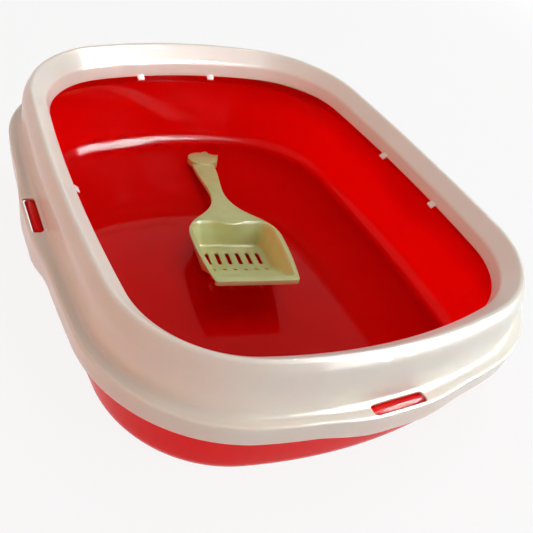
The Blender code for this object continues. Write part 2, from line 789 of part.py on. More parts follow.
def make_head():
    """The handle's head: an upturned round cup with two horns to hang it by."""
    start = math.atan2(HORN_SHARES[-1][0], HORN_SHARES[-1][1])
    end = 2 * math.pi + math.atan2(HORN_SHARES[0][0], HORN_SHARES[0][1])
    steps = 18
    plan = []
    for step in range(1, steps):
        angle = start + (end - start) * step / steps
        plan.append((math.cos(angle) * HEAD_RADIUS, HEAD_CENTRE + math.sin(angle) * HEAD_RADIUS))
    plan += [(across * HEAD_RADIUS, HEAD_CENTRE + back * HEAD_RADIUS) for back, across in HORN_SHARES]
    shape = bmesh.new()
    bottom = HEAD_RISE - HEAD_HEIGHT
    base = shape.faces.new([shape.verts.new((x, y, bottom)) for x, y in plan])
    lifted = bmesh.ops.extrude_face_region(shape, geom=[base])
    for item in lifted["geom"]:
        if isinstance(item, bmesh.types.BMVert):
            item.co.z += HEAD_HEIGHT
    bmesh.ops.recalc_face_normals(shape, faces=shape.faces)
    floor = next(face for face in shape.faces if face.normal.z < -0.5)
    bmesh.ops.inset_region(shape, faces=[floor], thickness=SCOOP_WALL, use_even_offset=True)
    hollow = bmesh.ops.extrude_face_region(shape, geom=[floor])
    for item in hollow["geom"]:
        if isinstance(item, bmesh.types.BMVert):
            item.co.z += HEAD_HEIGHT - SCOOP_WALL
    bmesh.ops.delete(shape, geom=[floor], context="FACES_ONLY")
    top_edges = [
        edge for edge in shape.edges
        if all(abs(v.co.z - HEAD_RISE) < CLEARANCE for v in edge.verts)
    ]
    bmesh.ops.bevel(shape, geom=top_edges, offset=HEAD_BEVEL, segments=2, profile=0.5, affect="EDGES")
    bmesh.ops.recalc_face_normals(shape, faces=shape.faces)
    return object_from("handle_head", shape)


def scoop_rests():
    """Where the scoop rests: the rear end of the bowl's flat floor and the far foot of its head."""
    bowl = Vector((BOWL_FLOOR_REAR - BOWL_FLOOR_FILLET, -BOWL_DEPTH - SCOOP_WALL))
    head = Vector((HEAD_CENTRE + HEAD_RADIUS * max(back for back, _ in HORN_SHARES), HEAD_RISE - HEAD_HEIGHT))
    return bowl, head


def make_scoop():
    cream = plastic("cream_plastic", (0.55, 0.5, 0.22, 1), 0.35)
    scoop = object_from("litter_scoop", make_scoop_surface(), cream)
    wall = scoop.modifiers.new("wall", "SOLIDIFY")
    wall.thickness = SCOOP_WALL
    wall.offset = -1
    wall.use_even_offset = True
    combine(scoop, make_head(), "UNION")
    combine(scoop, make_slot_cutters(), "DIFFERENCE")
    bowl, head = scoop_rests()
    pitch = math.atan2(head.y - bowl.y, head.x - bowl.x)
    scoop.rotation_euler = Euler((-pitch, 0, SCOOP_TURN), "XYZ")
    lowest = bowl.y * math.cos(pitch) - bowl.x * math.sin(pitch)
    tray_floor = PAN_WALL + FLOOR_PANEL_RISE
    scoop.location = (SCOOP_PLACE_X, SCOOP_PLACE_Y, tray_floor + CLEARANCE - lowest)
    return scoop


clear_scene()
make_pan()
make_guard()
make_scoop()
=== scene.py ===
# %% [markdown]
# # An open litter tray: red pan, milky splash guard and slotted scoop
#
# Three plastic mouldings make this tray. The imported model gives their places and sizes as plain
# facets. This lesson models each one again with fine, smooth faces, and gives it its own plastic.
# All lengths are metres. The floor is at z = 0, the front is at -Y and the long way lies along Y.

# %% Load the frame
import math

import bmesh
import bpy
import numpy as np
from mathutils import Euler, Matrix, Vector


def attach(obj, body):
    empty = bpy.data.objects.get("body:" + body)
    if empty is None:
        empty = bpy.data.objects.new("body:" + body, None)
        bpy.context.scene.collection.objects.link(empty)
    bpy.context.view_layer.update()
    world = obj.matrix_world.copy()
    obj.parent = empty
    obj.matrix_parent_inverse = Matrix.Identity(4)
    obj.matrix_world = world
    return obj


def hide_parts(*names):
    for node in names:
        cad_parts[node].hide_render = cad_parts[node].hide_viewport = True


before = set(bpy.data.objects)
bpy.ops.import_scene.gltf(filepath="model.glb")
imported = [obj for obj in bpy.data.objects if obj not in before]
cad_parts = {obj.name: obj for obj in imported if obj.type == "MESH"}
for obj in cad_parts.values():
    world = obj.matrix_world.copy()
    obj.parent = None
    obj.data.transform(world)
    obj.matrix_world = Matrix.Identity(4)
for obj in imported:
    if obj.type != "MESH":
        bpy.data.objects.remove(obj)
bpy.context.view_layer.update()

MM = 0.001


def only(piece):
    """Selects this piece alone and makes it the active one."""
    bpy.ops.object.select_all(action="DESELECT")
    piece.select_set(True)
    bpy.context.view_layer.objects.active = piece


# %% [markdown]
# ## The plan outline
#
# Seen from above, the inner edge of the guard is two long sides that bow a little, two ends that
# bow more, and four round corners. Each is an arc, and the arcs run into each other without a kink.
# An ellipse or a rectangle with rounded corners would miss the bow, and the pan and the guard have
# to share this line, so it is worked out once. A quarter is enough, because the rest is mirrored.

# %% Plan outline
OPENING_HALF_WIDTH = 166 * MM
OPENING_HALF_LENGTH = 213.6 * MM
SIDE_BOW_RADIUS = 1594 * MM
END_BOW_RADIUS = 407 * MM
CORNER_RADIUS = 88.8 * MM
SIDE_STEPS, CORNER_STEPS, END_STEPS = 44, 32, 30
FAR_OFF = 1.0


def plan_outline(corner_radius=CORNER_RADIUS, side_in=0.0, end_in=0.0):
    """Points of the outline, their outward normals, and how far each is from its side's middle."""
    side_centre = np.array([OPENING_HALF_WIDTH - side_in - SIDE_BOW_RADIUS, 0])
    end_centre = np.array([0, OPENING_HALF_LENGTH - end_in - END_BOW_RADIUS])
    to_side = SIDE_BOW_RADIUS - corner_radius
    to_end = END_BOW_RADIUS - corner_radius
    apart = end_centre - side_centre
    span = np.linalg.norm(apart)
    along = (span**2 + to_side**2 - to_end**2) / (2 * span)
    aside = math.sqrt(to_side**2 - along**2)
    direction = apart / span
    across = np.array([-direction[1], direction[0]])
    corner_centre = side_centre + direction * along + across * aside
    start = math.atan2(*(corner_centre - side_centre)[::-1])
    stop = math.atan2(*(corner_centre - end_centre)[::-1])

    side_angles = np.linspace(0, start, SIDE_STEPS + 1)
    corner_angles = np.linspace(start, stop, CORNER_STEPS + 1)[1:-1]
    end_angles = np.linspace(stop, math.pi / 2, END_STEPS + 1)
    angles = np.concatenate([side_angles, corner_angles, end_angles])
    counts = [len(side_angles), len(corner_angles), len(end_angles)]
    centres = np.repeat([side_centre, corner_centre, end_centre], counts, axis=0)
    radii = np.repeat([SIDE_BOW_RADIUS, corner_radius, END_BOW_RADIUS], counts)
    reach = np.concatenate([side_angles * SIDE_BOW_RADIUS, np.full(len(corner_angles), FAR_OFF),
                            (math.pi / 2 - end_angles) * END_BOW_RADIUS])
    normals = np.column_stack([np.cos(angles), np.sin(angles)])
    points = centres + normals * radii[:, None]

    def all_round(values, signs):
        """The quarter and its three mirror images, without the points they share."""
        back = values[::-1]
        quarters = [values, back[1:] * signs[0], values[1:] * signs[1], back[1:-1] * signs[2]]
        return np.concatenate(quarters)

    flips = [np.array([-1, 1]), np.array([-1, -1]), np.array([1, -1])]
    return all_round(points, flips), all_round(normals, flips), all_round(reach, [1, 1, 1])


points, normals, reach = plan_outline()
print("points in the outline:", len(points), "half width and length:", points.max(axis=0))

# %% [markdown]
# ## Sections with rounded corners
#
# A moulding is easiest to describe by its section: a few corners, each with a rounding. The
# helper draws an arc of the right radius at each corner and short steps on the straights between.

# %% Rounded section


def rounded_section(corners, step=3 * MM, arc_steps=7):
    """Points along a section given as corners (out, up, radius)."""
    places = [np.array(corner[:2], float) for corner in corners]
    radii = [corner[2] for corner in corners]
    traced = [places[0]]
    for before, at, after, radius in zip(places, places[1:], places[2:], radii[1:]):
        towards = (before - at) / np.linalg.norm(before - at)
        away = (after - at) / np.linalg.norm(after - at)
        if not radius:
            traced.append(at)
            continue
        half_angle = math.acos(np.clip(towards @ away, -1, 1)) / 2
        bisector = (towards + away) / np.linalg.norm(towards + away)
        middle = at + bisector * radius / math.sin(half_angle)
        first = at + towards * radius / math.tan(half_angle) - middle
        last = at + away * radius / math.tan(half_angle) - middle
        sweep = math.pi - 2 * half_angle
        for share in np.linspace(0, 1, arc_steps + 1):
            arm = math.sin((1 - share) * sweep) * first + math.sin(share * sweep) * last
            traced.append(middle + arm / math.sin(sweep))
    traced.append(places[-1])
    fine = [traced[0]]
    for at, after in zip(traced, traced[1:]):
        count = max(1, math.ceil(np.linalg.norm(after - at) / step))
        fine += [at + (after - at) * i / count for i in range(1, count + 1)]
    return np.array(fine)


def inner_corners(corners, wall):
    """The corners of a wall's inner face, right of the outer one, with concentric roundings."""
    places = [np.array(corner[:2], float) for corner in corners]
    sides = [(after - at) / np.linalg.norm(after - at) for at, after in zip(places, places[1:])]
    rights = [np.array([side[1], -side[0]]) for side in sides]
    moved = [(*(places[0] + rights[0] * wall), 0)]
    for at, before, after, corner in zip(places[1:], rights, rights[1:], corners[1:]):
        turns_right = before[0] * after[1] - before[1] * after[0] < 0
        mitre = at + (before + after) * wall / (1 + before @ after)
        moved.append((*mitre, max(corner[2] + (-wall if turns_right else wall), 0)))
    return moved + [(*(places[-1] + rights[-1] * wall), 0)]


def smooth_share(values, low, high):
    """0 up to the low value, 1 from the high one, with a smooth step between them."""
    share = np.clip((values - low) / (high - low), 0, 1)
    return share * share * (3 - 2 * share)


# %% [markdown]
# ## Wrapping a grid round the outline
#
# Both mouldings are one section carried round the outline. A grid primitive already has its faces
# in rows, so each row is laid on one ring of the moulding, and the two ends of every row are merged
# where they meet. A curve with a bevel profile could do it too, but the guard's section changes
# on the way round, and here each ring can be given its own heights.

# %% Grid helper
LEAST_AREA = (10 * MM) ** 2
MERGE_REACH = 0.001 * MM


def face_outwards():
    """Turns every face of the piece that is being edited outwards and leaves edit mode."""
    bpy.ops.mesh.select_all(action="SELECT")
    bpy.ops.mesh.normals_make_consistent(inside=False)
    bpy.ops.object.mode_set(mode="OBJECT")


def face_up(piece):
    """Turns an open sheet over if most of it faces down. A closed wall faces neither way."""
    if sum(face.normal.z * face.area for face in piece.data.polygons) < -LEAST_AREA:
        only(piece)
        bpy.ops.object.mode_set(mode="EDIT")
        bpy.ops.mesh.select_all(action="SELECT")
        bpy.ops.mesh.flip_normals()
        bpy.ops.object.mode_set(mode="OBJECT")


def wrap_grid(name, rings):
    """A grid primitive whose rows lie on the rings, with the ends of each row merged."""
    rows, around = len(rings), len(rings[0])
    bpy.ops.object.select_all(action="DESELECT")
    bpy.ops.mesh.primitive_grid_add(x_subdivisions=around, y_subdivisions=rows - 1, size=1)
    piece = bpy.context.object
    piece.name = name
    places = np.array([np.vstack([ring, ring[:1]]) for ring in rings], np.float32)
    piece.data.vertices.foreach_set("co", places.ravel())
    bpy.ops.object.mode_set(mode="EDIT")
    bpy.ops.mesh.select_all(action="SELECT")
    bpy.ops.mesh.remove_doubles(threshold=MERGE_REACH)
    face_outwards()
    face_up(piece)
    print(name, "has", len(piece.data.polygons), "faces")
    return piece


# %% [markdown]
# ## Cutting, joining and softening
#
# Windows, tabs, wedges, slots and the scoop's head are simple solids, cut away or joined on with a
# Boolean. A narrow bevel afterwards rounds the sharp edges, as every moulding's edges are round.

# %% Boolean and edge helpers


def apply_modifiers(piece):
    """Applies every modifier on the piece, from the top of the stack down."""
    only(piece)
    for modifier in list(piece.modifiers):
        bpy.ops.object.modifier_apply(modifier=modifier.name)


def boolean(piece, other, operation):
    """Cuts another piece away from this one or joins it on, and removes the other."""
    modifier = piece.modifiers.new(other.name, "BOOLEAN")
    modifier.operation = operation
    modifier.solver = "EXACT"
    modifier.object = other
    apply_modifiers(piece)
    bpy.data.objects.remove(other)


def soften_edges(piece, width, sharper_than, smooth_below):
    """Rounds edges sharper than one angle and smooths the shading below another, in degrees."""
    soften = piece.modifiers.new("soften", "BEVEL")
    soften.width = width
    soften.segments = 2
    soften.limit_method = "ANGLE"
    soften.angle_limit = math.radians(sharper_than)
    apply_modifiers(piece)
    only(piece)
    bpy.ops.object.shade_smooth_by_angle(angle=math.radians(smooth_below))
    print(piece.name, "has", len(piece.data.polygons), "faces with its edges softened")


def bar(name, section, length, at, outward):
    """A bar with one section (out, up), made by extruding a filled circle along its length."""
    bpy.ops.object.select_all(action="DESELECT")
    bpy.ops.mesh.primitive_circle_add(vertices=len(section), fill_type="NGON")
    piece = bpy.context.object
    piece.name = name
    across = np.array([-outward[1], outward[0], 0])
    for vertex, (out, up) in zip(piece.data.vertices, section):
        vertex.co = np.array([*(at + outward * out), up]) - across * length / 2
    bpy.ops.object.mode_set(mode="EDIT")
    bpy.ops.mesh.select_all(action="SELECT")
    bpy.ops.mesh.extrude_region_move(TRANSFORM_OT_translate={"value": across * length})
    face_outwards()
    return piece


# %% [markdown]
# ## The splash guard
#
# The guard is a thin wall that rises from its inner edge over a tall hollow crest, comes down
# outside to a small groove, and turns down again into a skirt. The crest rises towards both ends,
# and the skirt hangs lower round each of the four snap windows. Solidify could give a sheet its
# wall, but the ridge over the skirt is rounded more tightly than the wall is thick, so the inner
# face would fold over itself there. The inner face is drawn as a second section instead.

# %% Splash guard: the wall
GUARD_EDGE_HEIGHT = 100 * MM
GUARD_WALL = 2 * MM
EDGE_CORNER_RADIUS = 83.4 * MM
SLOPE_OUT, SLOPE_HEIGHT, SLOPE_RADIUS = 2.5 * MM, 11.5 * MM, 7 * MM
CREST_OUT, CREST_HEIGHT, CREST_RADIUS = 17 * MM, 25.1 * MM, 3.4 * MM
SHOULDER_OUT, SHOULDER_HEIGHT, SHOULDER_RADIUS = 23.8 * MM, 13.9 * MM, 24 * MM
GROOVE_OUT, GROOVE_DROP, GROOVE_RADIUS = 26.65 * MM, 18.7 * MM, 4 * MM
RIDGE_OUT, RIDGE_DROP, RIDGE_RADIUS = 36.9 * MM, 17.2 * MM, 1.8 * MM
SKIRT_OUT, SKIRT_DROP = 36.4 * MM, 35 * MM
CREST_RISE_FRONT, CREST_RISE_BACK = 1.6 * MM, 6.2 * MM
SIDE_APRON_DROP, END_APRON_DROP, APRON_BULGE = 9.5 * MM, 2.8 * MM, 3.2 * MM
APRON_FLAT_HALF, APRON_HALF = 18 * MM, 64 * MM

guard_corners = [
    (0, 0, 0),
    (SLOPE_OUT, SLOPE_HEIGHT, SLOPE_RADIUS),
    (CREST_OUT, CREST_HEIGHT, CREST_RADIUS),
    (SHOULDER_OUT, SHOULDER_HEIGHT, SHOULDER_RADIUS),
    (GROOVE_OUT, -GROOVE_DROP, GROOVE_RADIUS),
    (RIDGE_OUT, -RIDGE_DROP, RIDGE_RADIUS),
    (SKIRT_OUT, -SKIRT_DROP, 0),
]
outer_face = rounded_section(guard_corners)
guard_inner_corners = inner_corners(guard_corners, GUARD_WALL)
inner_face = rounded_section(guard_inner_corners, step=6 * MM, arc_steps=5)
guard_section = np.vstack([outer_face, inner_face[::-1], outer_face[:1]])
print("points round the guard's section:", len(guard_section))


def guard_ring(out, up):
    """One ring of the guard, with the crest's rise and the aprons round the windows worked in."""
    tighter = (CORNER_RADIUS - EDGE_CORNER_RADIUS) * (1 - min(max(out, 0) / CREST_OUT, 1))
    points, normals, reach = plan_outline(CORNER_RADIUS - tighter)
    if out < CREST_OUT:
        rise_share = max(up, 0) / CREST_HEIGHT
    else:
        rise_share = max(up + GROOVE_DROP, 0) / (CREST_HEIGHT + GROOVE_DROP)
    skirt_top = RIDGE_DROP + GUARD_WALL + RIDGE_RADIUS
    drop_share = min(max((-up - skirt_top) / (SKIRT_DROP - skirt_top), 0), 1)
    bulge_share = min(max((out - GROOVE_OUT) / (RIDGE_OUT - GUARD_WALL - GROOVE_OUT), 0), 1)
    apron = 1 - smooth_share(reach, APRON_FLAT_HALF, APRON_HALF)
    on_long_side = np.abs(normals[:, 0]) > np.abs(normals[:, 1])
    drop = np.where(on_long_side, SIDE_APRON_DROP, END_APRON_DROP)
    places = points + normals * (out + APRON_BULGE * apron * bulge_share)[:, None]
    along = places[:, 1] / OPENING_HALF_LENGTH
    rise = (CREST_RISE_BACK + CREST_RISE_FRONT) / 2 * along**2
    rise += (CREST_RISE_BACK - CREST_RISE_FRONT) / 2 * along
    height = GUARD_EDGE_HEIGHT + up + rise * rise_share - drop * apron * drop_share
    return np.column_stack([places, height])


guard = wrap_grid("splash_guard_moulding", [guard_ring(out, up) for out, up in guard_section])

# %% [markdown]
# ## Snap windows and tabs
#
# A window is a long opening with rounded corners through the ledge, a little clockwise of the
# side's middle. A cube whose upright edges are bevelled has just that shape, so one is made per
# side and cut away. The tabs are little sloping tongues that are moulded under the inner edge.

# %% Splash guard: windows
WINDOW_LENGTH, WINDOW_WIDTH, WINDOW_CORNER = 46 * MM, 9.5 * MM, 3 * MM
WINDOW_OUT, WINDOW_SHIFT = 32.95 * MM, 2.5 * MM
WINDOW_CUT_HEIGHT = 20 * MM


def snap_places():
    """Where the windows and the wedges in them sit, and the outward direction there."""
    for x, y in ((1, 0), (0, 1), (-1, 0), (0, -1)):
        middle = np.array([OPENING_HALF_WIDTH * x, OPENING_HALF_LENGTH * y])
        yield middle - np.array([-y, x]) * WINDOW_SHIFT, np.array([x, y])


def window_cutter(at, outward):
    """A tall box with rounded upright edges."""
    bpy.ops.object.select_all(action="DESELECT")
    bpy.ops.mesh.primitive_cube_add(size=1)
    piece = bpy.context.object
    along = np.array([-outward[1], outward[0]])
    centre = np.array([*(at + outward * WINDOW_OUT), GUARD_EDGE_HEIGHT - GROOVE_DROP])
    for vertex in piece.data.vertices:
        x, y, z = vertex.co
        plan = outward * x * WINDOW_WIDTH + along * y * WINDOW_LENGTH
        vertex.co = centre + np.array([*plan, z * WINDOW_CUT_HEIGHT])
    bpy.ops.object.mode_set(mode="EDIT")
    bpy.ops.mesh.select_mode(type="EDGE")
    bpy.ops.mesh.select_all(action="DESELECT")
    box = bmesh.from_edit_mesh(piece.data)
    for edge in box.edges:
        low, high = edge.verts
        edge.select = abs(low.co.z - high.co.z) > WINDOW_WIDTH
    box.select_flush_mode()
    bpy.ops.mesh.bevel(offset=WINDOW_CORNER, segments=8)
    bpy.ops.object.mode_set(mode="OBJECT")
    return piece


for at, outward in snap_places():
    boolean(guard, window_cutter(at, outward), "DIFFERENCE")
print("guard faces with its windows:", len(guard.data.polygons))

# %% Splash guard: inner tabs
TAB_WIDTH, TAB_REACH, TAB_SLOPE_DROP = 7.4 * MM, 4.3 * MM, 2.9 * MM
TAB_THICK, TAB_ROOT, TAB_FRONT_RISE = 1.3 * MM, 1.2 * MM, 2.5 * MM
RIGHT, LEFT, BACK, FRONT = (1, 0), (-1, 0), (0, 1), (0, -1)
TAB_SHARES = {RIGHT: (0.13, -0.285), LEFT: (0.045,), BACK: (-0.295, 0.21), FRONT: (-0.53,)}


def on_side(outward, along):
    """The point of the outline this far along a side, and the outward direction there."""
    outward = np.array(outward)
    half = OPENING_HALF_WIDTH if outward[0] else OPENING_HALF_LENGTH
    radius = SIDE_BOW_RADIUS if outward[0] else END_BOW_RADIUS
    tangent = np.abs(outward[::-1])
    turn = math.asin(along / radius)
    direction = outward * math.cos(turn) + tangent * math.sin(turn)
    return outward * (half - radius) + direction * radius, direction


for side, shares in TAB_SHARES.items():
    side_half = OPENING_HALF_LENGTH if side in (RIGHT, LEFT) else OPENING_HALF_WIDTH
    base = GUARD_EDGE_HEIGHT + (TAB_FRONT_RISE if side == FRONT else 0)
    tab_section = [
        (TAB_ROOT, base + TAB_ROOT),
        (TAB_ROOT, base + TAB_ROOT + TAB_THICK),
        (-TAB_REACH, base - TAB_SLOPE_DROP + TAB_THICK),
        (-TAB_REACH, base - TAB_SLOPE_DROP),
    ]
    for share in shares:
        at, outward = on_side(side, share * side_half)
        boolean(guard, bar("tab", tab_section, TAB_WIDTH, at, outward), "UNION")
print("guard faces with its tabs:", len(guard.data.polygons))

# %% Splash guard: soft edges
soften_edges(guard, width=0.4 * MM, sharper_than=50, smooth_below=40)

# %% [markdown]
# ## The pan
#
# The pan's section starts on the floor, rounds up into the wall, steps out a little near the top,
# turns over the flange and its lip, and comes back down outside to the base. Rings carry it round,
# and the two last rings, above and below, are filled to close the floor. The panel in the middle
# of the floor stands a little higher, which leaves the thin line seen near the walls.

# %% Pan: the moulding
PAN_WALL, SEAT_GAP = 2.4 * MM, 0.3 * MM
LEDGE_SLOPE = (GROOVE_DROP - RIDGE_DROP) / (RIDGE_OUT - GROOVE_OUT)
FLANGE_TOP = GUARD_EDGE_HEIGHT - GROOVE_DROP - SEAT_GAP - GUARD_WALL * math.hypot(1, LEDGE_SLOPE)
FOOT_OUT, UPSTAND_IN, UPSTAND_OUT, UPSTAND_TOP = 17 * MM, 20.8 * MM, 23.2 * MM, 90 * MM
STEP_AT, STEP_HEIGHT, STEP_DEPTH, STEP_RADIUS = 20.47 * MM, 82.2 * MM, 0.7 * MM, 0.3 * MM
INNER_FILLET, BEND_RADIUS, LIP_RADIUS = 16 * MM, 0.8 * MM, 0.6 * MM
SKIRT_GAP = 0.6 * MM
FLANGE_OUT = SKIRT_OUT - GUARD_WALL - SKIRT_GAP
LIP_LOW, LIP_WALL = FLANGE_TOP - 9 * MM, 2 * MM
PANEL_RISE, PANEL_SIDE_IN, PANEL_END_IN = 1.2 * MM, 6 * MM, 2 * MM
FLOOR_START = 0.2 * MM

pan_section = rounded_section([
    (FLOOR_START, PAN_WALL, 0),
    (FOOT_OUT, PAN_WALL, INNER_FILLET),
    (STEP_AT - STEP_DEPTH, STEP_HEIGHT, STEP_RADIUS),
    (STEP_AT, STEP_HEIGHT + STEP_DEPTH, STEP_RADIUS),
    (UPSTAND_IN, UPSTAND_TOP, BEND_RADIUS),
    (UPSTAND_OUT, UPSTAND_TOP, BEND_RADIUS),
    (UPSTAND_OUT, FLANGE_TOP, BEND_RADIUS),
    (FLANGE_OUT, FLANGE_TOP, BEND_RADIUS),
    (FLANGE_OUT, LIP_LOW, LIP_RADIUS),
    (FLANGE_OUT - LIP_WALL, LIP_LOW, LIP_RADIUS),
    (FLANGE_OUT - LIP_WALL, FLANGE_TOP - PAN_WALL, BEND_RADIUS),
    (UPSTAND_OUT, FLANGE_TOP - PAN_WALL, BEND_RADIUS),
    (FOOT_OUT + PAN_WALL, 0, INNER_FILLET + PAN_WALL),
    (FLOOR_START, 0, 0),
], step=8 * MM, arc_steps=12)


def plain_ring(outline, out, up):
    """The outline moved outwards to one height."""
    points, normals, _ = outline
    return np.column_stack([points + normals * out, np.full(len(points), up)])


wall_outline = plan_outline()
panel_outline = plan_outline(side_in=PANEL_SIDE_IN, end_in=PANEL_END_IN)
pan_rings = [plain_ring(panel_outline, -PANEL_RISE, PAN_WALL + PANEL_RISE)]
pan_rings += [plain_ring(panel_outline, 0, PAN_WALL)]
pan_rings += [plain_ring(wall_outline, out, up) for out, up in pan_section]
pan_rings += [plain_ring(panel_outline, 0, 0), plain_ring(panel_outline, -PANEL_RISE, PANEL_RISE)]
pan = wrap_grid("base_pan_moulding", pan_rings)

only(pan)
bpy.ops.object.mode_set(mode="EDIT")
bpy.ops.mesh.select_mode(type="EDGE")
bpy.ops.mesh.select_all(action="DESELECT")
bpy.ops.mesh.select_non_manifold(extend=False)
bpy.ops.mesh.fill_holes(sides=0)
face_outwards()

# %% [markdown]
# ## Snap wedges
#
# Each window shows a red wedge of the pan. It has a steep inner face, a ridge along its length and
# a long face that slopes out, so that the guard slides over it and catches.

# %% Pan: wedges
WEDGE_LENGTH = 43.4 * MM
WEDGE_IN, WEDGE_RIDGE_OUT, WEDGE_NOSE_OUT = 29.2 * MM, 32.8 * MM, 36 * MM
WEDGE_BACK_HEIGHT, WEDGE_HEIGHT, WEDGE_NOSE_HEIGHT = 1.3 * MM, 2.6 * MM, 0.6 * MM
WEDGE_ROOT = 1.2 * MM
wedge_section = [
    (WEDGE_IN, FLANGE_TOP - WEDGE_ROOT),
    (WEDGE_IN, FLANGE_TOP + WEDGE_BACK_HEIGHT),
    (WEDGE_RIDGE_OUT, FLANGE_TOP + WEDGE_HEIGHT),
    (WEDGE_NOSE_OUT, FLANGE_TOP + WEDGE_NOSE_HEIGHT),
    (WEDGE_NOSE_OUT, FLANGE_TOP - WEDGE_NOSE_HEIGHT),
    (FLANGE_OUT - WEDGE_ROOT, FLANGE_TOP - WEDGE_ROOT),
]
for at, outward in snap_places():
    boolean(pan, bar("wedge", wedge_section, WEDGE_LENGTH, at, outward), "UNION")
soften_edges(pan, width=0.35 * MM, sharper_than=32, smooth_below=32)

# %% [markdown]
# ## The scoop
#
# The scoop is one thin moulding. Its bowl has a flat slotted floor, steep sides and a ramp that
# runs up to a wide lip. A channel in the rear wall runs out into the narrow neck and the handle,
# which ends in a hooked head. It is modelled lying flat, with its rim at z = 0, and tilted into
# place at the end. The bowl is a stack of rings again, and the handle is a strip of rows that
# starts from the middle of the last ring.

# %% Scoop: the outline
SCOOP_WALL = 1.8 * MM
BOWL_HALF_WIDTH, BOWL_DEPTH = 47 * MM, 26.5 * MM
BOWL_FRONT, BOWL_REAR, HANDLE_END = 86.7 * MM, 24.5 * MM, 153 * MM
FLOOR_HALF, FLOOR_FRONT, FLOOR_REAR = 35.7 * MM, 31.6 * MM, 13.8 * MM
FLOOR_CORNER, FLOOR_FILLET = 8 * MM, 4 * MM
LIP_NARROWER_SHARE = 0.16
FADE = 6 * MM
WIDTH_SHARES = np.array([
    (-0.03, 1.0), (0.02, 0.985), (0.055, 0.945), (0.09, 0.895), (0.125, 0.83), (0.16, 0.74),
    (0.19, 0.655), (0.22, 0.55), (0.255, 0.455), (0.30, 0.355), (0.35, 0.272), (0.405, 0.215),
    (0.46, 0.178), (0.52, 0.158), (0.60, 0.168), (0.70, 0.2), (0.85, 0.255), (1.0, 0.28),
])


def half_width_at(back):
    """The scoop's half width this far behind the bowl's middle, smoothed over a few millimetres."""
    widest = WIDTH_SHARES[0, 0] * HANDLE_END
    if back <= widest:
        share = (widest - back) / (widest + BOWL_FRONT)
        return BOWL_HALF_WIDTH * (1 - LIP_NARROWER_SHARE * share**2)
    spread = min(1, (back - widest) / FADE, (HANDLE_END - back) / FADE)
    near = back + np.linspace(-4, 4, 9) * MM * spread
    backs, widths = WIDTH_SHARES[:, 0] * HANDLE_END, WIDTH_SHARES[:, 1]
    return BOWL_HALF_WIDTH * np.interp(near, backs, widths).mean()


print("half widths of lip and rear edge:", half_width_at(-BOWL_FRONT), half_width_at(BOWL_REAR))

# %% Scoop: rings of the bowl
LIP_CORNER, LIP_LEDGE, LIP_STEP = 2 * MM, 8.2 * MM, 2.2 * MM
RIM_CORNER, RIM_ROUND = 12.2 * MM, 1 * MM
SIDE_RIM, REAR_RIM, CORNER_START = 5 * MM, 5.5 * MM, 5 * MM
FILLET_HEIGHT_SHARE = 0.6
NECK_HALF, NECK_DEPTH = 16.3 * MM, 5.5 * MM
REAR_SHARES = np.linspace(1, 0, 9)
LIP_POINTS, SIDE_ROWS, ARC_ROWS = 6, 14, 9
FLOOR_RINGS, WALL_RINGS = 5, 6


def half_ring(front, side_at, side_range, corner, rear, rear_half, height_at, dip=0.0):
    """The right half of a ring, from the middle of the lip to the middle of the rear edge."""
    width = side_at(front)
    points = [(x, front) for x in np.linspace(0, width - LIP_CORNER, LIP_POINTS)]
    points += [(side_at(front + LIP_CORNER), front + LIP_CORNER)]
    points += [(side_at(back), back) for back in np.linspace(*side_range, SIDE_ROWS + 1)[1:]]
    points += corner
    for share in REAR_SHARES[1:]:
        x = rear_half * share
        points.append((x, rear - dip * NECK_DEPTH * (1 - min(abs(x) / NECK_HALF, 1) ** 2)))
    return np.array([(x, y, height_at(y)) for x, y in points])


def arc_corner(half_width, rear, radius):
    """A round rear corner."""
    x, y = half_width - radius, rear - radius
    angles = np.linspace(0, math.pi / 2, ARC_ROWS + 1)[1:]
    return [(x + math.cos(angle) * radius, y + math.sin(angle) * radius) for angle in angles]


def bowl_rings():
    """Half rings from the bowl's floor up its wall and out to the rim's edge."""
    rings = []
    for angle in np.linspace(0, math.pi / 2, FLOOR_RINGS):
        inset = FLOOR_FILLET * (1 - math.sin(angle))
        height = FLOOR_FILLET * (1 - math.cos(angle)) * FILLET_HEIGHT_SHARE - BOWL_DEPTH
        half, rear, front = FLOOR_HALF - inset, FLOOR_REAR - inset, -FLOOR_FRONT + inset / 2
        corner = arc_corner(half, rear, FLOOR_CORNER)
        side_range = (front + LIP_CORNER, rear - FLOOR_CORNER)
        rings.append(half_ring(front, lambda back, half=half: half, side_range, corner, rear,
                               half - FLOOR_CORNER, lambda back, height=height: height))
    for inset, height in ((0, -RIM_ROUND), (-RIM_ROUND, 0)):
        rear = BOWL_REAR - REAR_RIM - inset
        front = -BOWL_FRONT + LIP_LEDGE + inset
        step = LIP_STEP if height else 0

        def side_at(back, inset=inset):
            return half_width_at(min(back, 0)) - SIDE_RIM - inset

        def height_at(back, height=height, front=front, step=step):
            return height - (step if back < front + LIP_CORNER / 2 else 0)

        corner = arc_corner(side_at(0), rear, RIM_CORNER)
        side_range = (front + LIP_CORNER, rear - RIM_CORNER)
        rings.append(half_ring(front, side_at, side_range, corner, rear,
                               side_at(0) - RIM_CORNER, height_at, dip=1))
    stations = np.linspace(CORNER_START, BOWL_REAR, ARC_ROWS + 1)[1:]
    corner = [(half_width_at(back), back) for back in stations]
    side_range = (-BOWL_FRONT + LIP_CORNER, CORNER_START)
    rings.append(half_ring(-BOWL_FRONT, half_width_at, side_range, corner, BOWL_REAR,
                           half_width_at(BOWL_REAR), lambda back: 0.0))
    return rings


def whole_ring(half):
    """Both halves of a ring."""
    return np.vstack([half, (half[1:-1] * [-1, 1, 1])[::-1]])


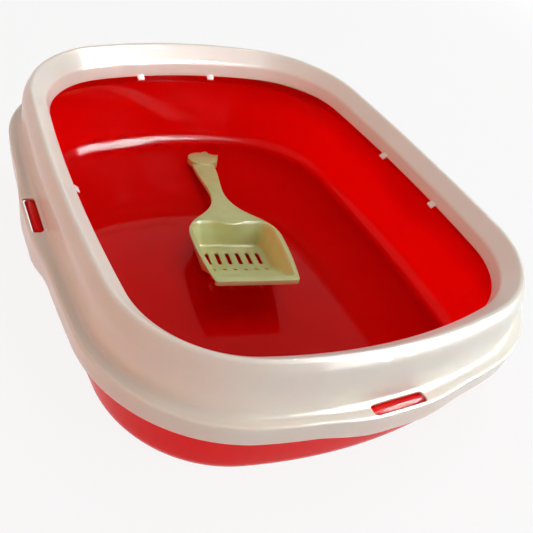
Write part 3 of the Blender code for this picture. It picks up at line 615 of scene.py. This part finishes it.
*floor_halves, foot, rim, rim_top, edge = bowl_rings()
wall_shares = np.linspace(0, 1, WALL_RINGS + 2)[1:-1]
wall_halves = [foot + (rim - foot) * share for share in wall_shares]
halves = [*floor_halves, foot, *wall_halves, rim, rim_top, edge]
bowl = wrap_grid("litter_scoop_moulding", [whole_ring(half) for half in halves])

# %% Scoop: neck and handle
HANDLE_SKIRT, HANDLE_CROWN = 4.2 * MM, 0.8 * MM
HANDLE_ROWS = 51
NEAR = 0.01 * MM


def select_edges(mesh, wanted):
    """Selects the open edges whose two ends both lie where wanted says."""
    bpy.ops.mesh.select_all(action="DESELECT")
    for edge in mesh.edges:
        edge.select = edge.is_boundary and all(wanted(vertex.co) for vertex in edge.verts)
    mesh.select_flush_mode()


def chosen(mesh, key):
    """The selected vertices, in order."""
    return sorted((vertex for vertex in mesh.verts if vertex.select), key=key)


only(bowl)
bpy.ops.object.mode_set(mode="EDIT")
bpy.ops.mesh.select_mode(type="EDGE")
mesh = bmesh.from_edit_mesh(bowl.data)
select_edges(mesh, lambda co: abs(co.y - BOWL_REAR) < NEAR)
shares = np.concatenate([REAR_SHARES, -REAR_SHARES[-2::-1]])
for back in np.linspace(BOWL_REAR, HANDLE_END, HANDLE_ROWS + 1)[1:]:
    bpy.ops.mesh.extrude_edges_move()
    mesh = bmesh.from_edit_mesh(bowl.data)
    crown = HANDLE_CROWN * float(smooth_share(back, BOWL_REAR, HANDLE_END / 2))
    for share, vertex in zip(shares, chosen(mesh, lambda v: -v.co.x)):
        vertex.co = (half_width_at(back) * share, back, crown * (1 - share**2))


def on_handle_edge(co):
    """Whether a point is on the neck's or the handle's long edges, with their last points."""
    if abs(co.y - HANDLE_END) < NEAR:
        return abs(abs(co.x) - half_width_at(HANDLE_END)) < NEAR
    return BOWL_REAR - NEAR < co.y < HANDLE_END - NEAR


select_edges(mesh, on_handle_edge)
bpy.ops.mesh.extrude_edges_move()
mesh = bmesh.from_edit_mesh(bowl.data)
for vertex in chosen(mesh, lambda v: v.co.y):
    vertex.co.z -= HANDLE_SKIRT * float(smooth_share(vertex.co.y, BOWL_REAR / 2, 2 * BOWL_REAR))
print("points of the bowl and handle:", len(mesh.verts))

# %% [markdown]
# ## Lip, floor and wall
#
# The lip has a turned-down edge in front, which is one more extrusion. The hole that the rings
# leave in the bowl's floor is closed with one face. Solidify then gives the whole sheet its wall,
# which is simpler than a second section, because the scoop has no one section all round.

# %% Scoop: lip, floor and wall
LIP_SKIRT = 4.5 * MM
NEAR_FLOOR = 0.1 * MM

select_edges(mesh, lambda co: co.y < -BOWL_FRONT + LIP_CORNER + NEAR and co.z > -RIM_ROUND / 2)
bpy.ops.mesh.extrude_edges_move()
mesh = bmesh.from_edit_mesh(bowl.data)
for vertex in chosen(mesh, lambda v: v.co.y):
    vertex.co.z -= LIP_SKIRT

select_edges(mesh, lambda co: co.z < -BOWL_DEPTH + NEAR_FLOOR)
bpy.ops.mesh.edge_face_add()
face_outwards()
face_up(bowl)
wall = bowl.modifiers.new("wall", "SOLIDIFY")
wall.thickness = SCOOP_WALL
wall.offset = -1
wall.use_even_offset = True
apply_modifiers(bowl)
print("scoop faces so far:", len(bowl.data.polygons))

# %% [markdown]
# ## The hooked head
#
# The handle ends in an upturned round cap with two pointed horns on one side, by which it can hang.
# A filled circle gives the round part, its last points are moved out to the horns, and extrude
# and inset give it a wall and a hollow underside.

# %% Scoop: head
HEAD_RADIUS, HEAD_CENTRE, HEAD_RISE, HEAD_HEIGHT = 15.8 * MM, 166.3 * MM, 2.5 * MM, 7.1 * MM
HORN_SHARES = ((-0.6, 1.1), (0.75, 1.47), (0.68, 1.12), (0.92, 0.76), (1.28, 0.66), (1.17, 0.3))
ROUND_POINTS = 44

bpy.ops.object.select_all(action="DESELECT")
bpy.ops.mesh.primitive_circle_add(vertices=ROUND_POINTS + len(HORN_SHARES), fill_type="NGON")
head = bpy.context.object
head.name = "handle_head"
first = math.atan2(*HORN_SHARES[-1])
last = 2 * math.pi + math.atan2(*HORN_SHARES[0])
angles = np.linspace(first, last, ROUND_POINTS + 2)[1:-1]
plan = [(math.cos(angle), math.sin(angle)) for angle in angles]
plan += [(across, back) for back, across in HORN_SHARES]
for vertex, (x, y) in zip(head.data.vertices, plan):
    vertex.co = (x * HEAD_RADIUS, HEAD_CENTRE + y * HEAD_RADIUS, HEAD_RISE)
bpy.ops.object.mode_set(mode="EDIT")
bpy.ops.mesh.select_all(action="SELECT")
bpy.ops.mesh.extrude_region_move(TRANSFORM_OT_translate={"value": (0, 0, -HEAD_HEIGHT)})
bpy.ops.mesh.inset(thickness=SCOOP_WALL, use_even_offset=True)
bpy.ops.mesh.extrude_region_move(TRANSFORM_OT_translate={"value": (0, 0, HEAD_HEIGHT - SCOOP_WALL)})
face_outwards()
boolean(bowl, head, "UNION")
print("scoop faces with its head:", len(bowl.data.polygons))

# %% [markdown]
# ## The slots
#
# Six long slots lie on the flat floor and six short ones at the foot of the ramp. Each is cut with
# a cylinder that is pulled out along the scoop, which leaves the slot's two ends round.

# %% Scoop: slots
SLOT_WIDTH, SLOT_PITCH, SLOTS_IN_ROW = 4.6 * MM, 10.7 * MM, 6
LONG_SLOT_START, LONG_SLOT_LENGTH = -0.7 * MM, 21.4 * MM
SHORT_SLOT_START, SHORT_SLOT_LENGTH = 31.7 * MM, 8 * MM
SLOT_CUT_HEIGHT, SLOT_CUT_LIFT = 16 * MM, 3 * MM


def cut_slot(start, length, sideways):
    """Cuts one slot that starts this far in front of the bowl's middle."""
    bpy.ops.object.select_all(action="DESELECT")
    bpy.ops.mesh.primitive_cylinder_add(vertices=24, radius=SLOT_WIDTH / 2, depth=SLOT_CUT_HEIGHT)
    cutter = bpy.context.object
    stretch = (length - SLOT_WIDTH) / 2
    for vertex in cutter.data.vertices:
        vertex.co.y += math.copysign(stretch, vertex.co.y) - start - length / 2
        vertex.co.x += sideways
        vertex.co.z -= BOWL_DEPTH - SLOT_CUT_LIFT
    boolean(bowl, cutter, "DIFFERENCE")


slot_rows = ((LONG_SLOT_START, LONG_SLOT_LENGTH), (SHORT_SLOT_START, SHORT_SLOT_LENGTH))
for start, length in slot_rows:
    for number in range(SLOTS_IN_ROW):
        cut_slot(start, length, (number - (SLOTS_IN_ROW - 1) / 2) * SLOT_PITCH)

soften_edges(bowl, width=0.4 * MM, sharper_than=48, smooth_below=38)

# %% [markdown]
# ## Laying the scoop down
#
# The scoop rests on the rear of its bowl's floor and on the foot of its head, so its lip points up
# a little. The tilt follows from those two points, and it is turned as it lies in the tray.

# %% Scoop: at rest on the floor of the pan
SCOOP_TURN = math.radians(-10.3)
SCOOP_X, SCOOP_Y = -6.6 * MM, 10.7 * MM

bowl_foot = np.array([FLOOR_REAR - FLOOR_FILLET, -BOWL_DEPTH - SCOOP_WALL])
head_end = HEAD_CENTRE + HEAD_RADIUS * max(back for back, across in HORN_SHARES)
head_foot = np.array([head_end, HEAD_RISE - HEAD_HEIGHT])
pitch = math.atan2(*(head_foot - bowl_foot)[::-1])
lowest = bowl_foot[1] * math.cos(pitch) - bowl_foot[0] * math.sin(pitch)
bowl.rotation_euler = Euler((-pitch, 0, SCOOP_TURN))
bowl.location = (SCOOP_X, SCOOP_Y, PAN_WALL + PANEL_RISE + SEAT_GAP - lowest)
only(bowl)
bpy.ops.object.transform_apply(location=True, rotation=True, scale=True)
print("tilt of the scoop in degrees:", math.degrees(pitch))

# %% [markdown]
# ## Helpers for the plastics
#
# Real mouldings are never one even colour: the dye streaks a little, use and litter dull the
# gloss, and edges go pale. Each plastic below mixes these from noise textures. The noise reads
# Object coordinates, which are metres on the piece itself, so the marks keep their size and place.

# %% Material helpers
MIX_COLOUR_A, MIX_COLOUR_B, MIX_COLOUR_RESULT = 6, 7, 2


def start_plastic(name):
    """A new material with its node tree, its shader and the place of each point on the piece."""
    material = bpy.data.materials.new(name)
    material.use_nodes = True
    tree = material.node_tree
    place = tree.nodes.new("ShaderNodeTexCoord").outputs["Object"]
    return material, tree, tree.nodes["Principled BSDF"], place


def cloud(tree, place, size, detail=2.0, squeeze=(1, 1, 1)):
    """Noise with spots of about this size in metres, squeezed along each axis by these factors."""
    mapping = tree.nodes.new("ShaderNodeMapping")
    mapping.inputs["Scale"].default_value = squeeze
    tree.links.new(place, mapping.inputs["Vector"])
    texture = tree.nodes.new("ShaderNodeTexNoise")
    texture.inputs["Scale"].default_value = 1 / size
    texture.inputs["Detail"].default_value = detail
    tree.links.new(mapping.outputs["Vector"], texture.inputs["Vector"])
    return texture.outputs["Fac"]


def remap(tree, value, low, high, start, stop):
    """Carries values from low..high over to start..stop, and no further."""
    node = tree.nodes.new("ShaderNodeMapRange")
    ends = {"From Min": low, "From Max": high, "To Min": start, "To Max": stop}
    for socket, amount in ends.items():
        node.inputs[socket].default_value = amount
    tree.links.new(value, node.inputs["Value"])
    return node.outputs["Result"]


def times(tree, first, second):
    """Multiplies two values."""
    node = tree.nodes.new("ShaderNodeMath")
    node.operation = "MULTIPLY"
    tree.links.new(first, node.inputs[0])
    tree.links.new(second, node.inputs[1])
    return node.outputs["Value"]


def blend(tree, share, first, second):
    """Mixes two colours by a share. Each is a colour or the output of another blend."""
    node = tree.nodes.new("ShaderNodeMix")
    node.data_type = "RGBA"
    tree.links.new(share, node.inputs["Factor"])
    for number, colour in ((MIX_COLOUR_A, first), (MIX_COLOUR_B, second)):
        socket = node.inputs[number]
        if isinstance(colour, tuple):
            socket.default_value = (*colour, 1)
        else:
            tree.links.new(colour, socket)
    return node.outputs[MIX_COLOUR_RESULT]


def height_above_floor(tree, place):
    """How high a point is above the floor, in metres."""
    node = tree.nodes.new("ShaderNodeSeparateXYZ")
    tree.links.new(place, node.inputs["Vector"])
    return node.outputs["Z"]


def faces_sideways(tree):
    """1 on walls that face the tray's long sides, 0 on level faces and walls facing its ends."""
    node = tree.nodes.new("ShaderNodeSeparateXYZ")
    tree.links.new(tree.nodes.new("ShaderNodeNewGeometry").outputs["Normal"], node.inputs["Vector"])
    either_way = tree.nodes.new("ShaderNodeMath")
    either_way.operation = "ABSOLUTE"
    tree.links.new(node.outputs["X"], either_way.inputs[0])
    return either_way.outputs["Value"]


def worn_edges(tree, place, reach):
    """1 on edges sharper than this reach and 0 on open faces, broken up by noise."""
    rounded = tree.nodes.new("ShaderNodeBevel")
    rounded.samples = 4
    rounded.inputs["Radius"].default_value = reach
    compare = tree.nodes.new("ShaderNodeVectorMath")
    compare.operation = "DOT_PRODUCT"
    tree.links.new(rounded.outputs["Normal"], compare.inputs[0])
    tree.links.new(tree.nodes.new("ShaderNodeNewGeometry").outputs["Normal"], compare.inputs[1])
    edge = remap(tree, compare.outputs["Value"], 0.8, 0.97, 1, 0)
    return times(tree, edge, remap(tree, cloud(tree, place, 12 * MM), 0.35, 0.65, 0.1, 0.8))


def bumps(tree, shader, value, depth):
    """Raises the surface by this depth in metres where the value is 1."""
    node = tree.nodes.new("ShaderNodeBump")
    node.inputs["Distance"].default_value = depth
    tree.links.new(value, node.inputs["Height"])
    tree.links.new(node.outputs["Normal"], shader.inputs["Normal"])


def lets_light_in(shader, weight, radius, depth):
    """Lets light travel under the surface, further in some colours than in others."""
    shader.inputs["Subsurface Weight"].default_value = weight
    shader.inputs["Subsurface Radius"].default_value = radius
    shader.inputs["Subsurface Scale"].default_value = depth


# %% [markdown]
# ## Red plastic
#
# The pan is dyed polypropylene from a polished mould, so it is glossy, and its thin walls glow
# where light falls on them from behind. Subsurface scattering gives that glow, with a long reach
# in red only. The dye has faint clouds, the edges are a little paler, and fine rubbing dulls the
# gloss.

# %% Red plastic
RED_DARKER, RED_BRIGHTER = (0.90, 0.001, 0.001), (0.98, 0.002, 0.002)
RED_WORN = (0.88, 0.05, 0.04)
RIM_WEAR = 0.8 * MM

red, tree, shader, place = start_plastic("red_plastic")
dye = remap(tree, cloud(tree, place, 70 * MM), 0.3, 0.7, 0, 1)
colour = blend(tree, dye, RED_DARKER, RED_BRIGHTER)
colour = blend(tree, worn_edges(tree, place, RIM_WEAR), colour, RED_WORN)
tree.links.new(colour, shader.inputs["Base Color"])
rubbing = cloud(tree, place, 9 * MM, 4.0, (1, 0.25, 1))
tree.links.new(remap(tree, rubbing, 0.35, 0.75, 0.025, 0.07), shader.inputs["Roughness"])
bumps(tree, shader, cloud(tree, place, 14 * MM, 1.0), 0.05 * MM)
shader.inputs["Specular IOR Level"].default_value = 0.08
lets_light_in(shader, 0.92, (1, 0.03, 0.02), 14 * MM)
pan.data.materials.append(red)
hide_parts("base_pan")
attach(pan, "pan")
print("nodes in the red plastic:", len(tree.nodes))

# %% [markdown]
# ## Milky plastic
#
# The guard has no dye, only the milky look of thin polypropylene. Light goes a few millimetres
# into it, so the red pan close behind shows through as a pink cast on the skirt and the ledge.
# That pink cast is also painted light: a pink tint painted into the colour, mixed in by height,
# because the skirt is the low part. The gloss is soft, with a harder shine on top, which a thin
# coat gives.

# %% Milky plastic
MILKY_DARKER, MILKY_BRIGHTER = (0.80, 0.785, 0.70), (0.85, 0.835, 0.75)
MILKY_PAINTED_GLOW, MILKY_WORN = (0.78, 0.58, 0.52), (0.90, 0.88, 0.85)

milky, tree, shader, place = start_plastic("milky_plastic")
mottle = remap(tree, cloud(tree, place, 45 * MM, 2.0), 0.2, 0.8, 0, 1)
colour = blend(tree, mottle, MILKY_DARKER, MILKY_BRIGHTER)
# Painted light: a pink tint low on the guard stands for red light from the pan seen through it.
glow_full_below, glow_none_above = GUARD_EDGE_HEIGHT - RIDGE_DROP - 12 * MM, GUARD_EDGE_HEIGHT - 6 * MM
painted_glow_by_height = remap(tree, height_above_floor(tree, place), glow_full_below, glow_none_above, 1, 0)
painted_glow_patches = remap(tree, cloud(tree, place, 80 * MM, 1.0), 0.2, 0.8, 0.2, 0.5)
colour = blend(tree, times(tree, painted_glow_by_height, painted_glow_patches), colour, MILKY_PAINTED_GLOW)
colour = blend(tree, worn_edges(tree, place, RIM_WEAR), colour, MILKY_WORN)
tree.links.new(colour, shader.inputs["Base Color"])
rubbing = cloud(tree, place, 16 * MM, 4.0)
tree.links.new(remap(tree, rubbing, 0.3, 0.75, 0.31, 0.39), shader.inputs["Roughness"])
bumps(tree, shader, cloud(tree, place, 30 * MM, 1.0), 0.1 * MM)
shader.inputs["Specular IOR Level"].default_value = 0.14
shader.inputs["Coat Weight"].default_value = 0.34
shader.inputs["Coat Roughness"].default_value = 0.05
lets_light_in(shader, 0.8, (1, 0.72, 0.55), 4 * MM)
guard.data.materials.append(milky)
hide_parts("splash_guard")
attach(guard, "guard")
print("nodes in the milky plastic:", len(tree.nodes))

# %% [markdown]
# ## Cream plastic
#
# The scoop is a pale yellow-green plastic with a satin face. It is rubbed along its rims, and it is
# a little darker and browner towards the bowl's floor, which is mixed in by height. Its side walls
# get
# painted light: an orange tint that stands for the red of the pan lighting them. They are found by
# the way they face.

# %% Cream plastic
CREAM_DARKER, CREAM_BRIGHTER = (0.56, 0.65, 0.28), (0.62, 0.71, 0.33)
CREAM_PAINTED_RED_LIGHT, CREAM_LOW_BROWN, CREAM_WORN = (0.86, 0.58, 0.18), (0.46, 0.36, 0.13), (0.72, 0.74, 0.46)

cream, tree, shader, place = start_plastic("cream_plastic")
mottle = remap(tree, cloud(tree, place, 18 * MM, 3.0), 0.35, 0.65, 0, 1)
colour = blend(tree, mottle, CREAM_DARKER, CREAM_BRIGHTER)
# Painted light: walls that face the sides take an orange tint for red light from the pan.
painted_red_light_share = remap(tree, faces_sideways(tree), 0.45, 0.85, 0, 0.5)
colour = blend(tree, painted_red_light_share, colour, CREAM_PAINTED_RED_LIGHT)
# Darker and browner low in the bowl, mixed in by height.
low_in_bowl = remap(tree, height_above_floor(tree, place), 6 * MM, 22 * MM, 0.5, 0)
colour = blend(tree, low_in_bowl, colour, CREAM_LOW_BROWN)
colour = blend(tree, worn_edges(tree, place, RIM_WEAR), colour, CREAM_WORN)
tree.links.new(colour, shader.inputs["Base Color"])
rubbing = cloud(tree, place, 8 * MM, 4.0)
tree.links.new(remap(tree, rubbing, 0.3, 0.7, 0.34, 0.46), shader.inputs["Roughness"])
shader.inputs["Specular IOR Level"].default_value = 0.2
bumps(tree, shader, cloud(tree, place, 3 * MM, 3.0), 0.04 * MM)
lets_light_in(shader, 0.4, (1, 0.8, 0.3), 3 * MM)
bowl.data.materials.append(cream)
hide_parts("litter_scoop")
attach(bowl, "scoop")
print("nodes in the cream plastic:", len(tree.nodes))

# %% [markdown]
# ## Floor
#
# The tray is shown on plain white, with only a soft shadow at its foot. A white surface never
# renders quite white, so towards the camera most of the floor is a light of strength 1, and the
# rest is an ordinary surface that still takes the shadow. Light Path tells the two apart, and
# mirrors and clear things see the same white.

# %% Floor
FLOOR_SIZE, FLOOR_GREY, OWN_LIGHT_SHARE = 40, 0.7, 0.88


def seen_directly(tree):
    """1 for what the camera sees, in a mirror or through glass too, and 0 for light on its way."""
    light_path = tree.nodes.new("ShaderNodeLightPath")
    seen = light_path.outputs["Is Camera Ray"]
    for ray in ("Is Glossy Ray", "Is Transmission Ray"):
        either = tree.nodes.new("ShaderNodeMath")
        either.operation = "MAXIMUM"
        tree.links.new(seen, either.inputs[0])
        tree.links.new(light_path.outputs[ray], either.inputs[1])
        seen = either.outputs["Value"]
    return seen


bpy.ops.object.select_all(action="DESELECT")
bpy.ops.mesh.primitive_plane_add(size=FLOOR_SIZE)
floor = bpy.context.object
floor.name = "floor"
pale, tree, shader, _ = start_plastic("pale_floor")
shader.inputs["Base Color"].default_value = (FLOOR_GREY, FLOOR_GREY, FLOOR_GREY, 1)
shader.inputs["Roughness"].default_value = 0.8
shader.inputs["Specular IOR Level"].default_value = 0
white = tree.nodes.new("ShaderNodeEmission")
mix = tree.nodes.new("ShaderNodeMixShader")
tree.links.new(remap(tree, seen_directly(tree), 0, 1, 0, OWN_LIGHT_SHARE), mix.inputs["Fac"])
tree.links.new(shader.outputs["BSDF"], mix.inputs[1])
tree.links.new(white.outputs["Emission"], mix.inputs[2])
tree.links.new(mix.outputs["Shader"], tree.nodes["Material Output"].inputs["Surface"])
floor.data.materials.append(pale)
print("floor half size:", floor.dimensions.x / 2)

# %% [markdown]
# ## Light
#
# Glossy plastic shows what stands round it, and a soft lamp there would show as a white block. So
# the work is split. Narrow bright panes are seen only in gloss. The upright ones stand in front at
# the right and draw the streak in the rounding between the pan's far wall and its floor, with a dim
# broad one beside them as a curtain. The sloping ones lie level overhead, at a slant to the tray's
# right side, and draw the lines along the crest. Four soft lamps are kept out of gloss and do the
# lighting: one in front at the right for the near walls, a low one at the right for the far end of
# the guard and the glow of the red wall, one overhead, and a warm one at the left. Even light from
# all round fills the rest.

# %% Lights
PANE_COUNT = 6
UPRIGHT_AWAY, UPRIGHT_HEIGHT, UPRIGHT_TARGET = 1.6, 0.9, (0, 0, 0.3)
UPRIGHT_WIDTH, UPRIGHT_LENGTH, UPRIGHT_BRIGHTNESS = 0.085, 1.7, 170
UPRIGHT_FIRST_TURN, UPRIGHT_TURN_STEP = 118, 7
CURTAIN_TURN, CURTAIN_WIDTH, CURTAIN_BRIGHTNESS = 161, 0.36, 14
SLOPING_HEIGHT, SLOPING_WIDTH, SLOPING_BRIGHTNESS = 1.2, 0.055, 85
SLOPING_NEAR_X, SLOPING_NEAR_STEP, SLOPING_NEAR_Y = 0.56, 0.12, -0.45
SLOPING_FAR_X, SLOPING_FAR_STEP, SLOPING_FAR_Y = 0.44, 0.05, 0.35
ALL_ROUND_LIGHT, BACKDROP_LIGHT = 0.25, 0.9


def area_light(name, place, target, size, power, colour=(1, 1, 1)):
    """A rectangular light at a place, turned towards its target."""
    bpy.ops.object.light_add(type="AREA", location=place)
    light = bpy.context.object
    light.name = name
    light.rotation_euler = (Vector(target) - Vector(place)).to_track_quat("-Z", "Y").to_euler()
    light.data.shape = "RECTANGLE"
    light.data.size, light.data.size_y = size
    light.data.energy = power
    light.data.color = colour
    return light


def pane(name, place, target, size, brightness):
    """One pane of a window, as bright as asked, kept out of everything but reflections."""
    light = area_light(name, place, target, size, brightness * math.pi * size[0] * size[1])
    light.visible_diffuse = False
    light.visible_camera = False
    return light


def upright_pane(name, turn, width, brightness):
    """A tall pane that stands round the tray, at a turn in degrees from its back."""
    turn = math.radians(turn)
    place = (math.sin(turn) * UPRIGHT_AWAY, math.cos(turn) * UPRIGHT_AWAY, UPRIGHT_HEIGHT)
    pane(name, place, UPRIGHT_TARGET, (width, UPRIGHT_LENGTH), brightness)


def soft_lamp(name, place, target, size, power, colour=(1, 1, 1)):
    """A broad lamp kept out of reflections."""
    light = area_light(name, place, target, size, power, colour)
    light.visible_glossy = False
    light.visible_camera = False


for number in range(PANE_COUNT):
    turn = UPRIGHT_FIRST_TURN + UPRIGHT_TURN_STEP * number
    upright_pane(f"upright_pane_{number + 1}", turn, UPRIGHT_WIDTH, UPRIGHT_BRIGHTNESS)
for number in range(PANE_COUNT):
    near = Vector((SLOPING_NEAR_X + SLOPING_NEAR_STEP * number, SLOPING_NEAR_Y, SLOPING_HEIGHT))
    far = Vector((SLOPING_FAR_X + SLOPING_FAR_STEP * number, SLOPING_FAR_Y, SLOPING_HEIGHT))
    middle = (near + far) / 2
    below = middle - Vector((0, 0, 1))
    size = (SLOPING_WIDTH, (far - near).length)
    light = pane(f"sloping_pane_{number + 1}", middle, below, size, SLOPING_BRIGHTNESS)
    light.rotation_euler.z = math.atan2(near.x - far.x, far.y - near.y)
upright_pane("curtain", CURTAIN_TURN, CURTAIN_WIDTH, CURTAIN_BRIGHTNESS)
soft_lamp("front_right", (0.6, -1.15, 0.5), (0.08, -0.12, 0.06), (0.9, 0.6), 6.4)
soft_lamp("low_right", (1.9, 0.45, 0.3), (0.15, 0, 0.03), (1.6, 0.4), 15.5)
soft_lamp("overhead", (0.5, 0.2, 1.55), (0, 0, 0), (1.1, 1.1), 6.9)
soft_lamp("warm_left", (-1.3, -0.2, 0.6), (-0.1, 0, 0.08), (0.9, 0.6), 5.5, (1, 0.4, 0.24))
world = bpy.data.worlds.new("studio")
bpy.context.scene.world = world
world.use_nodes = True
backdrop = world.node_tree.nodes["Background"]
backdrop.inputs["Color"].default_value = (1, 1, 1, 1)
seen = seen_directly(world.node_tree)
strength = remap(world.node_tree, seen, 0, 1, ALL_ROUND_LIGHT, BACKDROP_LIGHT)
world.node_tree.links.new(strength, backdrop.inputs["Strength"])
print("lights:", len(bpy.data.lights))

# %% [markdown]
# ## Camera
#
# The camera stands at the near left corner and looks down over the tray, a little tilted, as in a
# snapshot. Its place, turn and lens were worked out from the tray's own outlines.

# %% Camera
CAMERA_PLACE = (-0.2675, -0.4171, 0.4033)
CAMERA_TURN = (49.9995, -12.3319, -25.7860)
LENS, SENSOR_WIDTH, NEAREST_SEEN = 42.02, 36, 0.01

turns = [math.radians(turn) for turn in CAMERA_TURN]
bpy.ops.object.camera_add(location=CAMERA_PLACE, rotation=turns)
camera = bpy.context.object
camera.data.lens = LENS
camera.data.sensor_width = SENSOR_WIDTH
camera.data.clip_start = NEAREST_SEEN
bpy.context.scene.camera = camera
bpy.context.scene.view_settings.view_transform = "Standard"
print("camera at", CAMERA_PLACE, "with a lens of", LENS, "mm")
